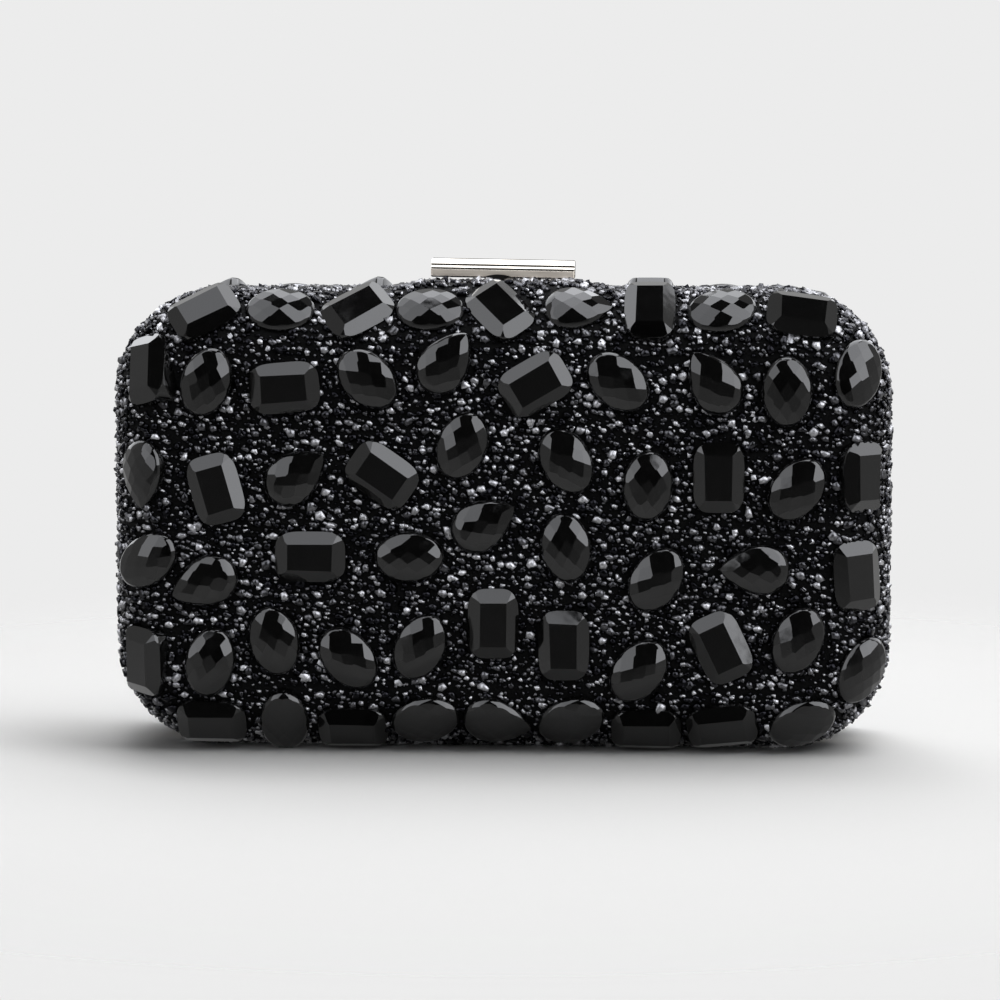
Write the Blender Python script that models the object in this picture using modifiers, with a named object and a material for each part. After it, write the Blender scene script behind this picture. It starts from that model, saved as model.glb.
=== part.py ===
"""Rhinestone clutch: a hard two-half evening bag covered in crushed crystals and cut stones.

The bag stands on its long edge on z = 0 and its front faces -Y. Both halves hang on two small
hinges at the bottom, and a lever with a polished bar locks them at the top.
All sizes are in metres.
"""

import math

import bmesh
import bpy
from mathutils import Matrix, Vector

# Body of the bag, measured over the crystals without the stones
BODY_WIDTH = 0.199
BODY_HEIGHT = 0.1175
HALF_DEPTH = 0.0235
CORNER_RADIUS = 0.027
SHOULDER_RADIUS = 0.016
CORNER_SEGMENTS = 6
SHOULDER_SEGMENTS = 5

# Clearances and cutter overrun
SEAM_GAP = 0.0003
FIT_GAP = 0.0003
OVERRUN = 0.001
WELD_DISTANCE = 0.00001
SHARP_ANGLE = math.radians(35)

# Layers of each half, from the outside in
COVER_WALL = 0.0018
SHELL_WALL = 0.0016
LINING_WALL = 0.0010
SHELL_INSET = COVER_WALL + FIT_GAP
LINING_INSET = SHELL_INSET + SHELL_WALL + FIT_GAP

# Metal frame: a flat flange on the seam and a lip that holds the lining's edge
FRAME_INSET = 0.0008
FLANGE_THICKNESS = 0.0020
LIP_THICKNESS = 0.0010
LIP_REACH = 0.00385
LIP_INSET = LINING_INSET + LINING_WALL + FIT_GAP
FRAME_INNER_INSET = LIP_INSET + LIP_THICKNESS
FLANGE_BACK = SEAM_GAP / 2 + FLANGE_THICKNESS
LIP_END = FLANGE_BACK + LIP_REACH
TRAY_RIM = FLANGE_BACK + FIT_GAP

# Hinges on the bottom edge
HINGE_SPACING = 0.090
HINGE_WIDTH = 0.022
PIN_RADIUS = 0.00065
PIN_HEAD_RADIUS = 0.0011
PIN_HEAD_THICKNESS = 0.0005
KNUCKLE_RADIUS = 0.0015
FLOOR_CLEARANCE = 0.0003
LEAF_THICKNESS = 0.0008
LEAF_EDGE = 0.0008
HINGE_HEIGHT = KNUCKLE_RADIUS + FLOOR_CLEARANCE
BORE_RADIUS = PIN_RADIUS + FIT_GAP
KNUCKLE_CLEARANCE = KNUCKLE_RADIUS + FIT_GAP
KNUCKLE_LENGTH = (HINGE_WIDTH - 2 * FIT_GAP) / 3
LEAF_BOTTOM = HINGE_HEIGHT + KNUCKLE_CLEARANCE
LEAF_TOP = FRAME_INNER_INSET - LEAF_EDGE - FIT_GAP
ROUND_SEGMENTS = 16

# Clasp: a polished bar on a lever that turns on the back half
BAR_LENGTH = 0.0371
BAR_DEPTH = 0.0088
BAR_HEIGHT = 0.0047
BAR_LIFT = 0.0031
BAR_CHAMFER = 0.0012
BAR_CHAMFER_SEGMENTS = 3
BAR_BOTTOM = BODY_HEIGHT + BAR_LIFT
CRADLE_THICKNESS = 0.0010
TAB_THICKNESS = 0.0008
TAB_RISE = 0.0010
NECK_WIDTH = 0.0072
NECK_THICKNESS = 0.0019
SLOT_CLEARANCE = 0.0006
ARM_DROP = 0.0024
ARM_THICKNESS = 0.0014
PIVOT_SETBACK = 0.0040
PIVOT_BOSS = 0.0028
TAIL_LENGTH = 0.0050
BARB_LENGTH = 0.0014
BARB_DEPTH = 0.0011
FRAME_UNDERSIDE = BODY_HEIGHT - FRAME_INNER_INSET
ARM_TOP = FRAME_UNDERSIDE - ARM_DROP
ARM_BOTTOM = ARM_TOP - ARM_THICKNESS
PIVOT_HEIGHT = ARM_TOP - PIVOT_BOSS / 2
TAIL_BOTTOM = ARM_TOP - PIVOT_BOSS

# Keeper on the front frame, which the lever's barb hooks behind
KEEPER_SETBACK = 0.0039
KEEPER_THICKNESS = 0.0008
KEEPER_BAR = 0.0020
KEEPER_WIDTH = 0.0180
KEEPER_EAR = 0.0033
KEEPER_POST = 0.0012
KEEPER_FRONT = KEEPER_SETBACK + KEEPER_THICKNESS
KEEPER_TOP = ARM_BOTTOM - FIT_GAP
KEEPER_WINDOW = NECK_WIDTH / 2 + SLOT_CLEARANCE + FIT_GAP
BARB_INNER = KEEPER_FRONT + FIT_GAP
BARB_BOTTOM = KEEPER_TOP - BARB_DEPTH

# Bracket on the back frame, which carries the lever's pin and spring
BRACKET_WIDTH = 0.0180
BRACKET_PLATE = 0.0008
BRACKET_FRONT = 0.0026
BRACKET_EAR = 0.0033
CHEEK_THICKNESS = 0.0010
SPRING_HEIGHT = 0.0036
SPRING_RADIUS = 0.0011
SPRING_WIRE = 0.0002
SPRING_TURNS = 5
POINTS_PER_TURN = 10
BRACKET_TOP = FRAME_UNDERSIDE - FIT_GAP
BRACKET_BACK = PIVOT_SETBACK + TAIL_LENGTH + 2 * FIT_GAP
CHEEK_INNER = NECK_WIDTH / 2 + FIT_GAP
CHEEK_OUTER = CHEEK_INNER + CHEEK_THICKNESS
SPRING_TOP = TAIL_BOTTOM - FIT_GAP
SPRING_BOTTOM = SPRING_TOP - SPRING_HEIGHT
BRACKET_FLOOR = SPRING_BOTTOM - FIT_GAP
SPRING_SETBACK = PIVOT_SETBACK + TAIL_LENGTH - SPRING_RADIUS - 2 * SPRING_WIRE

# Rivets that hold the keeper and the bracket to the frames
RIVET_RADIUS = 0.0006
RIVET_HEAD_RADIUS = 0.0011
RIVET_HEAD_THICKNESS = 0.0006
RIVET_SPACING = 0.0146
RIVET_SETBACK = BRACKET_FRONT + BRACKET_EAR / 2

# Cut stones, all of one length and width
STONE_LENGTH = 0.018
STONE_WIDTH = 0.013
STONE_HEIGHT = 0.0040
GIRDLE_HEIGHT = 0.0012
EMERALD_CORNER = 0.0030
TABLE_LENGTH = 0.0114
TABLE_WIDTH = 0.0068
TABLE_CORNER = 0.0012
SHOULDER_SINK = 0.0010
STONE_ROOT = 0.0040
GIRDLE_POINTS = 12
FACET_SHARE = 0.27
DOME_DROP_SHARE = 0.70
PEAR_SHIFT_SHARE = 0.14
PEAR_TAPER = 0.55

# Stones on the flat front: cut, place across and up as shares of half the width and of the
# height, and the turn of the long axis in degrees
FACE_STONE_SHARES = (
    ("oval", -0.748, 0.809, 72),
    ("emerald", -0.548, 0.797, 5),
    ("oval", -0.336, 0.817, -43),
    ("pear", -0.135, 0.854, 54),
    ("emerald", 0.092, 0.807, 30),
    ("oval", 0.302, 0.812, -40),
    ("pear", 0.543, 0.813, 124),
    ("oval", 0.730, 0.792, 90),
    ("emerald", -0.725, 0.577, -75),
    ("pear", -0.519, 0.606, 38),
    ("emerald", -0.299, 0.609, -35),
    ("oval", -0.094, 0.673, 68),
    ("oval", 0.171, 0.641, -60),
    ("oval", 0.379, 0.588, 85),
    ("emerald", 0.559, 0.606, 90),
    ("oval", 0.757, 0.581, 52),
    ("pear", -0.758, 0.372, 203),
    ("emerald", -0.484, 0.430, 0),
    ("oval", -0.230, 0.431, 0),
    ("pear", -0.038, 0.504, 30),
    ("oval", 0.171, 0.453, -80),
    ("oval", 0.401, 0.384, 55),
    ("pear", 0.652, 0.407, 180),
    ("oval", -0.744, 0.198, 78),
    ("oval", -0.578, 0.245, -75),
    ("oval", -0.388, 0.209, -48),
    ("oval", -0.203, 0.234, 62),
    ("emerald", -0.015, 0.286, 90),
    ("emerald", 0.166, 0.239, 90),
    ("oval", 0.358, 0.185, 50),
    ("emerald", 0.567, 0.237, -65),
    ("oval", 0.763, 0.253, 65),
)

# Stones on the rounded shoulder, in the same terms
SHOULDER_STONE_SHARES = (
    ("emerald", -0.759, 0.957, 30),
    ("oval", -0.563, 0.961, 0),
    ("emerald", -0.365, 0.960, 35),
    ("oval", -0.179, 0.962, 0),
    ("emerald", 0.000, 0.962, -50),
    ("pear", 0.199, 0.966, 0),
    ("emerald", 0.382, 0.963, 90),
    ("oval", 0.565, 0.961, 10),
    ("emerald", 0.768, 0.954, -5),
    ("emerald", -0.903, 0.834, 90),
    ("oval", 0.910, 0.829, 75),
    ("pear", -0.918, 0.605, -90),
    ("emerald", 0.925, 0.605, 90),
    ("oval", -0.906, 0.417, 35),
    ("emerald", 0.911, 0.391, -85),
    ("emerald", -0.921, 0.195, 90),
    ("oval", 0.928, 0.184, 60),
    ("emerald", -0.746, 0.062, 0),
    ("oval", -0.557, 0.065, 90),
    ("emerald", -0.380, 0.050, 0),
    ("oval", -0.192, 0.070, 12),
    ("pear", -0.006, 0.067, -12),
    ("oval", 0.184, 0.070, 20),
    ("emerald", 0.377, 0.051, 0),
    ("emerald", 0.572, 0.060, 8),
    ("oval", 0.777, 0.068, 25),
)

FRONT = -1
BACK = 1


# Scene and object helpers

def clear_scene():
    """Remove every object of the scene."""
    for item in list(bpy.data.objects):
        bpy.data.objects.remove(item, do_unlink=True)


def new_collection(name):
    """Make a collection under the scene's own."""
    collection = bpy.data.collections.new(name)
    bpy.context.scene.collection.children.link(collection)
    return collection


def new_material(name, colour, metallic, roughness):
    """Make a Principled material."""
    material = bpy.data.materials.new(name)
    material.use_nodes = True
    shader = material.node_tree.nodes["Principled BSDF"]
    shader.inputs["Base Color"].default_value = (*colour, 1.0)
    shader.inputs["Metallic"].default_value = metallic
    shader.inputs["Roughness"].default_value = roughness
    return material


def add_object(name, bm, look, rounded=False):
    """Turn a bmesh into a part's object with its own copy of a look."""
    bmesh.ops.recalc_face_normals(bm, faces=bm.faces)
    mesh = bpy.data.meshes.new(name)
    bm.to_mesh(mesh)
    bm.free()
    if rounded:
        mesh.shade_smooth()
        mesh.set_sharp_from_angle(angle=SHARP_ANGLE)
    item = bpy.data.objects.new(name, mesh)
    item.data.materials.append(new_material(name, *look))
    PARTS.objects.link(item)
    return item


def add_cutter(name, bm):
    """Turn a bmesh into a hidden object that a Boolean uses."""
    bmesh.ops.recalc_face_normals(bm, faces=bm.faces)
    mesh = bpy.data.meshes.new(name)
    bm.to_mesh(mesh)
    bm.free()
    item = bpy.data.objects.new(name, mesh)
    item.hide_render = True
    item.display_type = "WIRE"
    CUTTERS.objects.link(item)
    return item


def ride(item, pivot):
    """Hang a part on a pivot, where it already stands."""
    item.parent = pivot
    item.matrix_parent_inverse = pivot.matrix_world.inverted()


def combine(item, operation, tool_name, bm):
    """Add a Boolean of a bmesh to a part."""
    modifier = item.modifiers.new(tool_name, "BOOLEAN")
    modifier.operation = operation
    modifier.solver = "EXACT"
    modifier.object = add_cutter(f"{item.name}_{tool_name}", bm)


def join_all(item, tool_name, pieces):
    """Add one Boolean that joins many closed pieces to a part, also where they meet each other."""
    group = bpy.data.collections.new(f"{item.name}_{tool_name}")
    CUTTERS.children.link(group)
    for number, bm in enumerate(pieces, start=1):
        piece = add_cutter(f"{item.name}_{tool_name}_{number}", bm)
        CUTTERS.objects.unlink(piece)
        group.objects.link(piece)
    modifier = item.modifiers.new(tool_name, "BOOLEAN")
    modifier.operation = "UNION"
    modifier.solver = "EXACT"
    modifier.operand_type = "COLLECTION"
    modifier.collection = group


# Shapes

def box(x_range, y_range, z_range):
    """A closed box between three pairs of coordinates."""
    low = [min(pair) for pair in (x_range, y_range, z_range)]
    high = [max(pair) for pair in (x_range, y_range, z_range)]
    middle = Vector([(a + b) / 2 for a, b in zip(low, high)])
    size = [b - a for a, b in zip(low, high)]
    bm = bmesh.new()
    place = Matrix.Translation(middle) @ Matrix.Diagonal((*size, 1.0))
    bmesh.ops.create_cube(bm, size=1.0, matrix=place)
    return bm


def depth_range(side, near, far):
    """A pair of Y coordinates on one side of the seam."""
    return (side * near, side * far)


def rod(radius, middle, length, axis="X"):
    """A closed cylinder along X or Z."""
    turn = Matrix.Rotation(math.pi / 2, 4, "Y") if axis == "X" else Matrix.Identity(4)
    bm = bmesh.new()
    bmesh.ops.create_cone(
        bm, cap_ends=True, segments=ROUND_SEGMENTS, radius1=radius, radius2=radius,
        depth=length, matrix=Matrix.Translation(Vector(middle)) @ turn)
    return bm


def plate(outline, width):
    """A flat plate with an outline of Y and Z points, as wide as given along X."""
    curve = bpy.data.curves.new("plate", "CURVE")
    curve.dimensions = "2D"
    curve.fill_mode = "BOTH"
    curve.extrude = width / 2
    spline = curve.splines.new("POLY")
    spline.points.add(len(outline) - 1)
    spline.use_cyclic_u = True
    for point, (y, z) in zip(spline.points, outline):
        point.co = (y, z, 0.0, 1.0)
    item = bpy.data.objects.new("plate", curve)
    PARTS.objects.link(item)
    mesh = bpy.data.meshes.new_from_object(item.evaluated_get(
        bpy.context.evaluated_depsgraph_get()))
    bpy.data.objects.remove(item)
    bm = bmesh.new()
    bm.from_mesh(mesh)
    bpy.data.meshes.remove(mesh)
    bmesh.ops.remove_doubles(bm, verts=bm.verts, dist=WELD_DISTANCE)
    turn = Matrix.Rotation(math.pi / 2, 4, "Z") @ Matrix.Rotation(math.pi / 2, 4, "X")
    bmesh.ops.transform(bm, matrix=turn, verts=bm.verts)
    return bm


def rounded_block(side, inset, near, far, shoulder=False):
    """The bag's outline drawn in by an inset, as a block with or without its round shoulder."""
    half_width = BODY_WIDTH / 2 - inset
    bm = box((-half_width, half_width), depth_range(side, near, far),
             (inset, BODY_HEIGHT - inset))
    corners = [edge for edge in bm.edges
               if abs(edge.verts[0].co.y - edge.verts[1].co.y) > abs(far - near) / 2]
    bmesh.ops.bevel(bm, geom=corners, offset=CORNER_RADIUS - inset, segments=CORNER_SEGMENTS,
                    profile=0.5, affect="EDGES")
    if shoulder:
        middle = side * (near + far) / 2
        rim = [edge for edge in bm.edges
               if all(side * (vert.co.y - middle) > 0 for vert in edge.verts)]
        bmesh.ops.bevel(bm, geom=rim, offset=SHOULDER_RADIUS - inset,
                        segments=SHOULDER_SEGMENTS, profile=0.5, affect="EDGES")
    return bm


def turned(name, profile, place, look):
    """A turned piece: a profile of radius and height pairs, swept round by a Screw."""
    bm = bmesh.new()
    points = [bm.verts.new((radius, 0.0, height)) for radius, height in profile]
    for first, second in zip(points, points[1:]):
        bm.edges.new((first, second))
    item = add_object(name, bm, look)
    screw = item.modifiers.new("turn", "SCREW")
    screw.steps = ROUND_SEGMENTS
    screw.render_steps = ROUND_SEGMENTS
    screw.use_merge_vertices = True
    screw.merge_threshold = WELD_DISTANCE
    item.matrix_world = place
    return item


# Cut stones

def girdle_outline(cut):
    """Points round the widest line of a stone, its long axis along X."""
    half_length = STONE_LENGTH / 2
    half_width = STONE_WIDTH / 2
    if cut == "emerald":
        return octagon(half_length, half_width, EMERALD_CORNER)
    points = []
    for step in range(GIRDLE_POINTS):
        angle = 2 * math.pi * (step + 0.5) / GIRDLE_POINTS
        swell = math.sin(angle)
        if cut == "pear":
            swell *= math.sin(angle / 2) ** PEAR_TAPER / PEAR_SWELL
        points.append((half_length * math.cos(angle), half_width * swell))
    return points


def octagon(half_length, half_width, corner):
    """A rectangle with its corners cut off."""
    return [(x * (half_length - cut_x), y * (half_width - cut_y))
            for x in (-1, 1) for y in (-1, 1)
            for cut_x, cut_y in ((corner, 0), (0, corner))]


def crown_points(cut):
    """Corner points of a stone's crown."""
    if cut == "emerald":
        table = octagon(TABLE_LENGTH / 2, TABLE_WIDTH / 2, TABLE_CORNER)
        return [(x, y, STONE_HEIGHT) for x, y in table]
    shift = -PEAR_SHIFT_SHARE if cut == "pear" else 0.0
    drop = DOME_DROP_SHARE * (STONE_HEIGHT - GIRDLE_HEIGHT)
    points = []
    for row in range(4):
        for column in range(4):
            along = FACET_SHARE * (row + column - 3)
            across = FACET_SHARE * (row - column)
            height = STONE_HEIGHT - drop * (along ** 2 + across ** 2)
            points.append((STONE_LENGTH / 2 * (along + shift), STONE_WIDTH / 2 * across, height))
    return points


def stone(cut, place, root):
    """A closed stone: the hull of its crown, its girdle and its root, set in a place."""
    outline = girdle_outline(cut)
    points = crown_points(cut)
    points += [(x, y, GIRDLE_HEIGHT) for x, y in outline]
    points += [(x, y, -root) for x, y in outline]
    bm = bmesh.new()
    for point in points:
        bm.verts.new(place @ Vector(point))
    hull = bmesh.ops.convex_hull(bm, input=bm.verts)
    inner = [item for item in hull["geom_interior"] if isinstance(item, bmesh.types.BMVert)]
    bmesh.ops.delete(bm, geom=inner, context="VERTS")
    bmesh.ops.recalc_face_normals(bm, faces=bm.faces)
    return bm


def skin_place(across_share, up_share, turn, side, lift):
    """Where a stone sits on the skin: a matrix with its long axis, width and outward normal."""
    x = across_share * BODY_WIDTH / 2
    z = (up_share - 0.5) * BODY_HEIGHT
    past_x = abs(x) - (BODY_WIDTH / 2 - CORNER_RADIUS)
    past_z = abs(z) - (BODY_HEIGHT / 2 - CORNER_RADIUS)
    if past_x > 0 and past_z > 0:
        reach = math.hypot(past_x, past_z)
        edge = CORNER_RADIUS - reach
        outward = Vector((math.copysign(past_x, x), 0.0, math.copysign(past_z, z))) / reach
    elif past_x > past_z:
        edge = CORNER_RADIUS - past_x
        outward = Vector((math.copysign(1.0, x), 0.0, 0.0))
    else:
        edge = CORNER_RADIUS - past_z
        outward = Vector((0.0, 0.0, math.copysign(1.0, z)))
    lean = max(0.0, min(1.0, (SHOULDER_RADIUS - edge) / SHOULDER_RADIUS))
    rise = math.sqrt(1.0 - lean ** 2)
    depth = HALF_DEPTH - SHOULDER_RADIUS * (1.0 - rise)
    normal = outward * lean + Vector((0.0, side * rise, 0.0))
    level = (Vector((1.0, 0.0, 0.0)) - normal * normal.x).normalized()
    upright = normal.cross(level)
    if upright.z < 0:
        upright.negate()
    turn = math.radians(turn)
    along = level * math.cos(turn) + upright * math.sin(turn)
    across = upright * math.cos(turn) - level * math.sin(turn)
    centre = Vector((x, side * depth, z + BODY_HEIGHT / 2)) + normal * lift
    return Matrix.Translation(centre) @ Matrix((along, across, normal)).transposed().to_4x4()


def rooted_stones(side, table, lift):
    """Stones whose roots reach into the cover, each as its own bmesh."""
    return [stone(cut, skin_place(across_share, up_share, turn, side, lift), STONE_ROOT)
            for cut, across_share, up_share, turn in table]


def add_face_stones():
    """Separate stones glued on the flat front."""
    for number, (cut, across_share, up_share, turn) in enumerate(FACE_STONE_SHARES, start=1):
        place = skin_place(across_share, up_share, turn, FRONT, FIT_GAP)
        item = add_object(f"front_stone_{number:02d}", stone(cut, place, 0.0), STONE_LOOK)
        ride(item, FRONT_PIVOT)


# Shells of each half

def add_tray(name, side, inset, wall, look):
    """A shell with the bag's rounded form, open at the seam."""
    block = rounded_block(side, inset, TRAY_RIM, HALF_DEPTH - inset, True)
    item = add_object(name, block, look, rounded=True)
    hollow = rounded_block(side, inset + wall, TRAY_RIM - OVERRUN,
                           HALF_DEPTH - inset - wall, True)
    return item, hollow


def add_shells(side, word):
    """Crystal cover, shell and lining of one half."""
    cover, hollow = add_tray(f"{word}_crystal_cover", side, 0.0, COVER_WALL, CRYSTAL_LOOK)
    stones = rooted_stones(side, SHOULDER_STONE_SHARES, -SHOULDER_SINK)
    if side == BACK:
        stones += rooted_stones(side, FACE_STONE_SHARES, FIT_GAP)
    join_all(cover, "stones", stones)
    combine(cover, "DIFFERENCE", "hollow", hollow)
    weld = cover.modifiers.new("weld", "WELD")
    weld.merge_threshold = WELD_DISTANCE
    shell, hollow = add_tray(f"{word}_shell", side, SHELL_INSET, SHELL_WALL, SHELL_LOOK)
    combine(shell, "DIFFERENCE", "hollow", hollow)
    lining, hollow = add_tray(f"{word}_lining", side, LINING_INSET, LINING_WALL, LINING_LOOK)
    combine(lining, "DIFFERENCE", "hollow", hollow)
    return [cover, shell, lining]


# Frames

def hinge_centres():
    """X places of the two hinges."""
    return (("left", -HINGE_SPACING / 2), ("right", HINGE_SPACING / 2))


def groove_under_hinge():
    """The square bar, set on its edge, that bevels the seam below the hinge line."""
    apex = HINGE_HEIGHT + FIT_GAP
    half_diagonal = apex + OVERRUN
    edge = half_diagonal * math.sqrt(2)
    bm = bmesh.new()
    place = (Matrix.Translation((0.0, 0.0, apex - half_diagonal))
             @ Matrix.Rotation(math.pi / 4, 4, "X")
             @ Matrix.Diagonal((BODY_WIDTH, edge, edge, 1.0)))
    bmesh.ops.create_cube(bm, size=1.0, matrix=place)
    return bm


def add_frame(side, word):
    """The metal frame of one half, with its seats for hinges and clasp."""
    flange = rounded_block(side, FRAME_INSET, SEAM_GAP / 2, FLANGE_BACK)
    frame = add_object(f"{word}_frame", flange, METAL_LOOK, rounded=True)
    combine(frame, "UNION", "lip",
            rounded_block(side, LIP_INSET, FLANGE_BACK - FLANGE_THICKNESS / 2, LIP_END))
    combine(frame, "DIFFERENCE", "opening",
            rounded_block(side, FRAME_INNER_INSET, -OVERRUN, LIP_END + OVERRUN))
    combine(frame, "DIFFERENCE", "groove", groove_under_hinge())
    notch = HINGE_WIDTH / 2 + PIN_HEAD_THICKNESS + 2 * FIT_GAP
    pocket = HINGE_WIDTH / 2 + FIT_GAP
    for hand, centre in hinge_centres():
        combine(frame, "DIFFERENCE", f"{hand}_knuckle_notch",
                box((centre - notch, centre + notch),
                    depth_range(side, -OVERRUN, FLANGE_BACK + OVERRUN),
                    (-OVERRUN, LEAF_BOTTOM)))
        combine(frame, "DIFFERENCE", f"{hand}_leaf_pocket",
                box((centre - pocket, centre + pocket),
                    depth_range(side, -OVERRUN, SEAM_GAP / 2 + LEAF_THICKNESS + FIT_GAP),
                    (LEAF_BOTTOM - OVERRUN, LEAF_TOP + FIT_GAP)))
        combine(frame, "DIFFERENCE", f"{hand}_rivet_hole",
                rod(RIVET_RADIUS + FIT_GAP,
                    (math.copysign(RIVET_SPACING / 2, centre), side * RIVET_SETBACK,
                     FRAME_UNDERSIDE + LIP_THICKNESS / 2),
                    LIP_THICKNESS + 2 * OVERRUN, "Z"))
    slot = NECK_WIDTH / 2 + SLOT_CLEARANCE
    combine(frame, "DIFFERENCE", "lever_slot",
            box((-slot, slot), depth_range(side, -OVERRUN, FLANGE_BACK),
                (FRAME_UNDERSIDE - OVERRUN, BODY_HEIGHT)))
    return frame


# Hinges

def add_leaf(name, side, centre, knuckles):
    """One hinge leaf: a plate set in the frame, with its knuckles round the axis."""
    leaf_depth = depth_range(side, SEAM_GAP / 2, SEAM_GAP / 2 + LEAF_THICKNESS)
    leaf = add_object(name, box((centre - HINGE_WIDTH / 2, centre + HINGE_WIDTH / 2), leaf_depth,
                                (LEAF_BOTTOM, LEAF_TOP)), METAL_LOOK)
    for number in knuckles:
        start = centre - HINGE_WIDTH / 2 + number * (KNUCKLE_LENGTH + FIT_GAP)
        middle = start + KNUCKLE_LENGTH / 2
        combine(leaf, "UNION", f"neck_{number}",
                box((start, start + KNUCKLE_LENGTH), leaf_depth,
                    (HINGE_HEIGHT, (LEAF_BOTTOM + LEAF_TOP) / 2)))
        combine(leaf, "UNION", f"knuckle_{number}",
                rod(KNUCKLE_RADIUS, (middle, 0.0, HINGE_HEIGHT), KNUCKLE_LENGTH))
    combine(leaf, "DIFFERENCE", "bore",
            rod(BORE_RADIUS, (centre, 0.0, HINGE_HEIGHT), HINGE_WIDTH + 2 * OVERRUN))
    return leaf


def double_headed(reach):
    """Profile of a pin whose shank ends in a head at both ends."""
    tip = reach + PIN_HEAD_THICKNESS
    return [(0.0, tip), (PIN_HEAD_RADIUS, tip), (PIN_HEAD_RADIUS, reach), (PIN_RADIUS, reach),
            (PIN_RADIUS, -reach), (PIN_HEAD_RADIUS, -reach), (PIN_HEAD_RADIUS, -tip),
            (0.0, -tip)]


def along_x(middle):
    """A place whose Z axis points along X."""
    return Matrix.Translation(Vector(middle)) @ Matrix.Rotation(math.pi / 2, 4, "Y")


def add_hinges():
    """Two hinges: the front leaf has the middle knuckle, the back leaf the outer two."""
    for hand, centre in hinge_centres():
        front = add_leaf(f"{hand}_hinge_front_leaf", FRONT, centre, (1,))
        ride(front, FRONT_PIVOT)
        add_leaf(f"{hand}_hinge_back_leaf", BACK, centre, (0, 2))
        turned(f"{hand}_hinge_pin", double_headed(HINGE_WIDTH / 2 + FIT_GAP),
               along_x((centre, 0.0, HINGE_HEIGHT)), METAL_LOOK)


# Clasp

def add_lever():
    """The clasp lever: cradle, neck, hook arm and tail in one plate, on a cross pin."""
    seat = BAR_BOTTOM - FIT_GAP
    tab_front = -BAR_DEPTH / 2 - FIT_GAP - TAB_THICKNESS
    tab_back = -BAR_DEPTH / 2 - FIT_GAP
    barb_front = -BARB_INNER - BARB_LENGTH
    tail_end = PIVOT_SETBACK + TAIL_LENGTH
    outline = [
        (tab_front, seat - CRADLE_THICKNESS), (-NECK_THICKNESS, seat - CRADLE_THICKNESS),
        (-NECK_THICKNESS, ARM_TOP), (barb_front, ARM_TOP), (barb_front, ARM_BOTTOM),
        (-BARB_INNER, BARB_BOTTOM), (-BARB_INNER, ARM_BOTTOM),
        (PIVOT_SETBACK - PIVOT_BOSS, ARM_BOTTOM), (PIVOT_SETBACK - PIVOT_BOSS / 2, TAIL_BOTTOM),
        (tail_end, TAIL_BOTTOM), (tail_end, ARM_TOP), (0.0, ARM_TOP),
        (0.0, seat - CRADLE_THICKNESS), (BAR_DEPTH / 2, seat - CRADLE_THICKNESS),
        (BAR_DEPTH / 2, seat), (tab_back, seat), (tab_back, BAR_BOTTOM + TAB_RISE),
        (tab_front, BAR_BOTTOM + TAB_RISE),
    ]
    lever = add_object("clasp_lever", plate(outline, NECK_WIDTH), DARK_METAL_LOOK)
    combine(lever, "DIFFERENCE", "pin_bore",
            rod(BORE_RADIUS, (0.0, PIVOT_SETBACK, PIVOT_HEIGHT), NECK_WIDTH + 2 * OVERRUN))
    ride(lever, CLASP_PIVOT)


def add_bar():
    """The polished bar that the fingers push back."""
    bm = box((-BAR_LENGTH / 2, BAR_LENGTH / 2), (-BAR_DEPTH / 2, BAR_DEPTH / 2),
             (BAR_BOTTOM, BAR_BOTTOM + BAR_HEIGHT))
    bar = add_object("clasp_bar", bm, METAL_LOOK)
    bevel = bar.modifiers.new("chamfer", "BEVEL")
    bevel.width = BAR_CHAMFER
    bevel.segments = BAR_CHAMFER_SEGMENTS
    ride(bar, CLASP_PIVOT)


def add_bracket():
    """The bracket under the back frame: ears, two cheeks for the pin and a spring shelf."""
    half_width = BRACKET_WIDTH / 2
    plate_bottom = BRACKET_TOP - BRACKET_PLATE
    shelf_bottom = BRACKET_FLOOR - BRACKET_PLATE
    ears = box((-half_width, half_width), (BRACKET_FRONT, BRACKET_FRONT + BRACKET_EAR),
               (plate_bottom, BRACKET_TOP))
    bracket = add_object("clasp_bracket", ears, METAL_LOOK)
    for hand, sign in (("left", -1), ("right", 1)):
        combine(bracket, "UNION", f"{hand}_cheek",
                box((sign * CHEEK_INNER, sign * CHEEK_OUTER), (BRACKET_FRONT, BRACKET_BACK),
                    (shelf_bottom, BRACKET_TOP - BRACKET_PLATE / 2)))
    combine(bracket, "UNION", "shelf",
            box((-CHEEK_INNER - CHEEK_THICKNESS / 2, CHEEK_INNER + CHEEK_THICKNESS / 2),
                (BRACKET_FRONT, BRACKET_BACK), (shelf_bottom, BRACKET_FLOOR)))
    combine(bracket, "DIFFERENCE", "pin_bore",
            rod(BORE_RADIUS, (0.0, PIVOT_SETBACK, PIVOT_HEIGHT), BRACKET_WIDTH))
    for hand, sign in (("left", -1), ("right", 1)):
        combine(bracket, "DIFFERENCE", f"{hand}_rivet_hole",
                rod(RIVET_RADIUS + FIT_GAP,
                    (sign * RIVET_SPACING / 2, RIVET_SETBACK, BRACKET_TOP - BRACKET_PLATE / 2),
                    BRACKET_PLATE + 2 * OVERRUN, "Z"))


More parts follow.
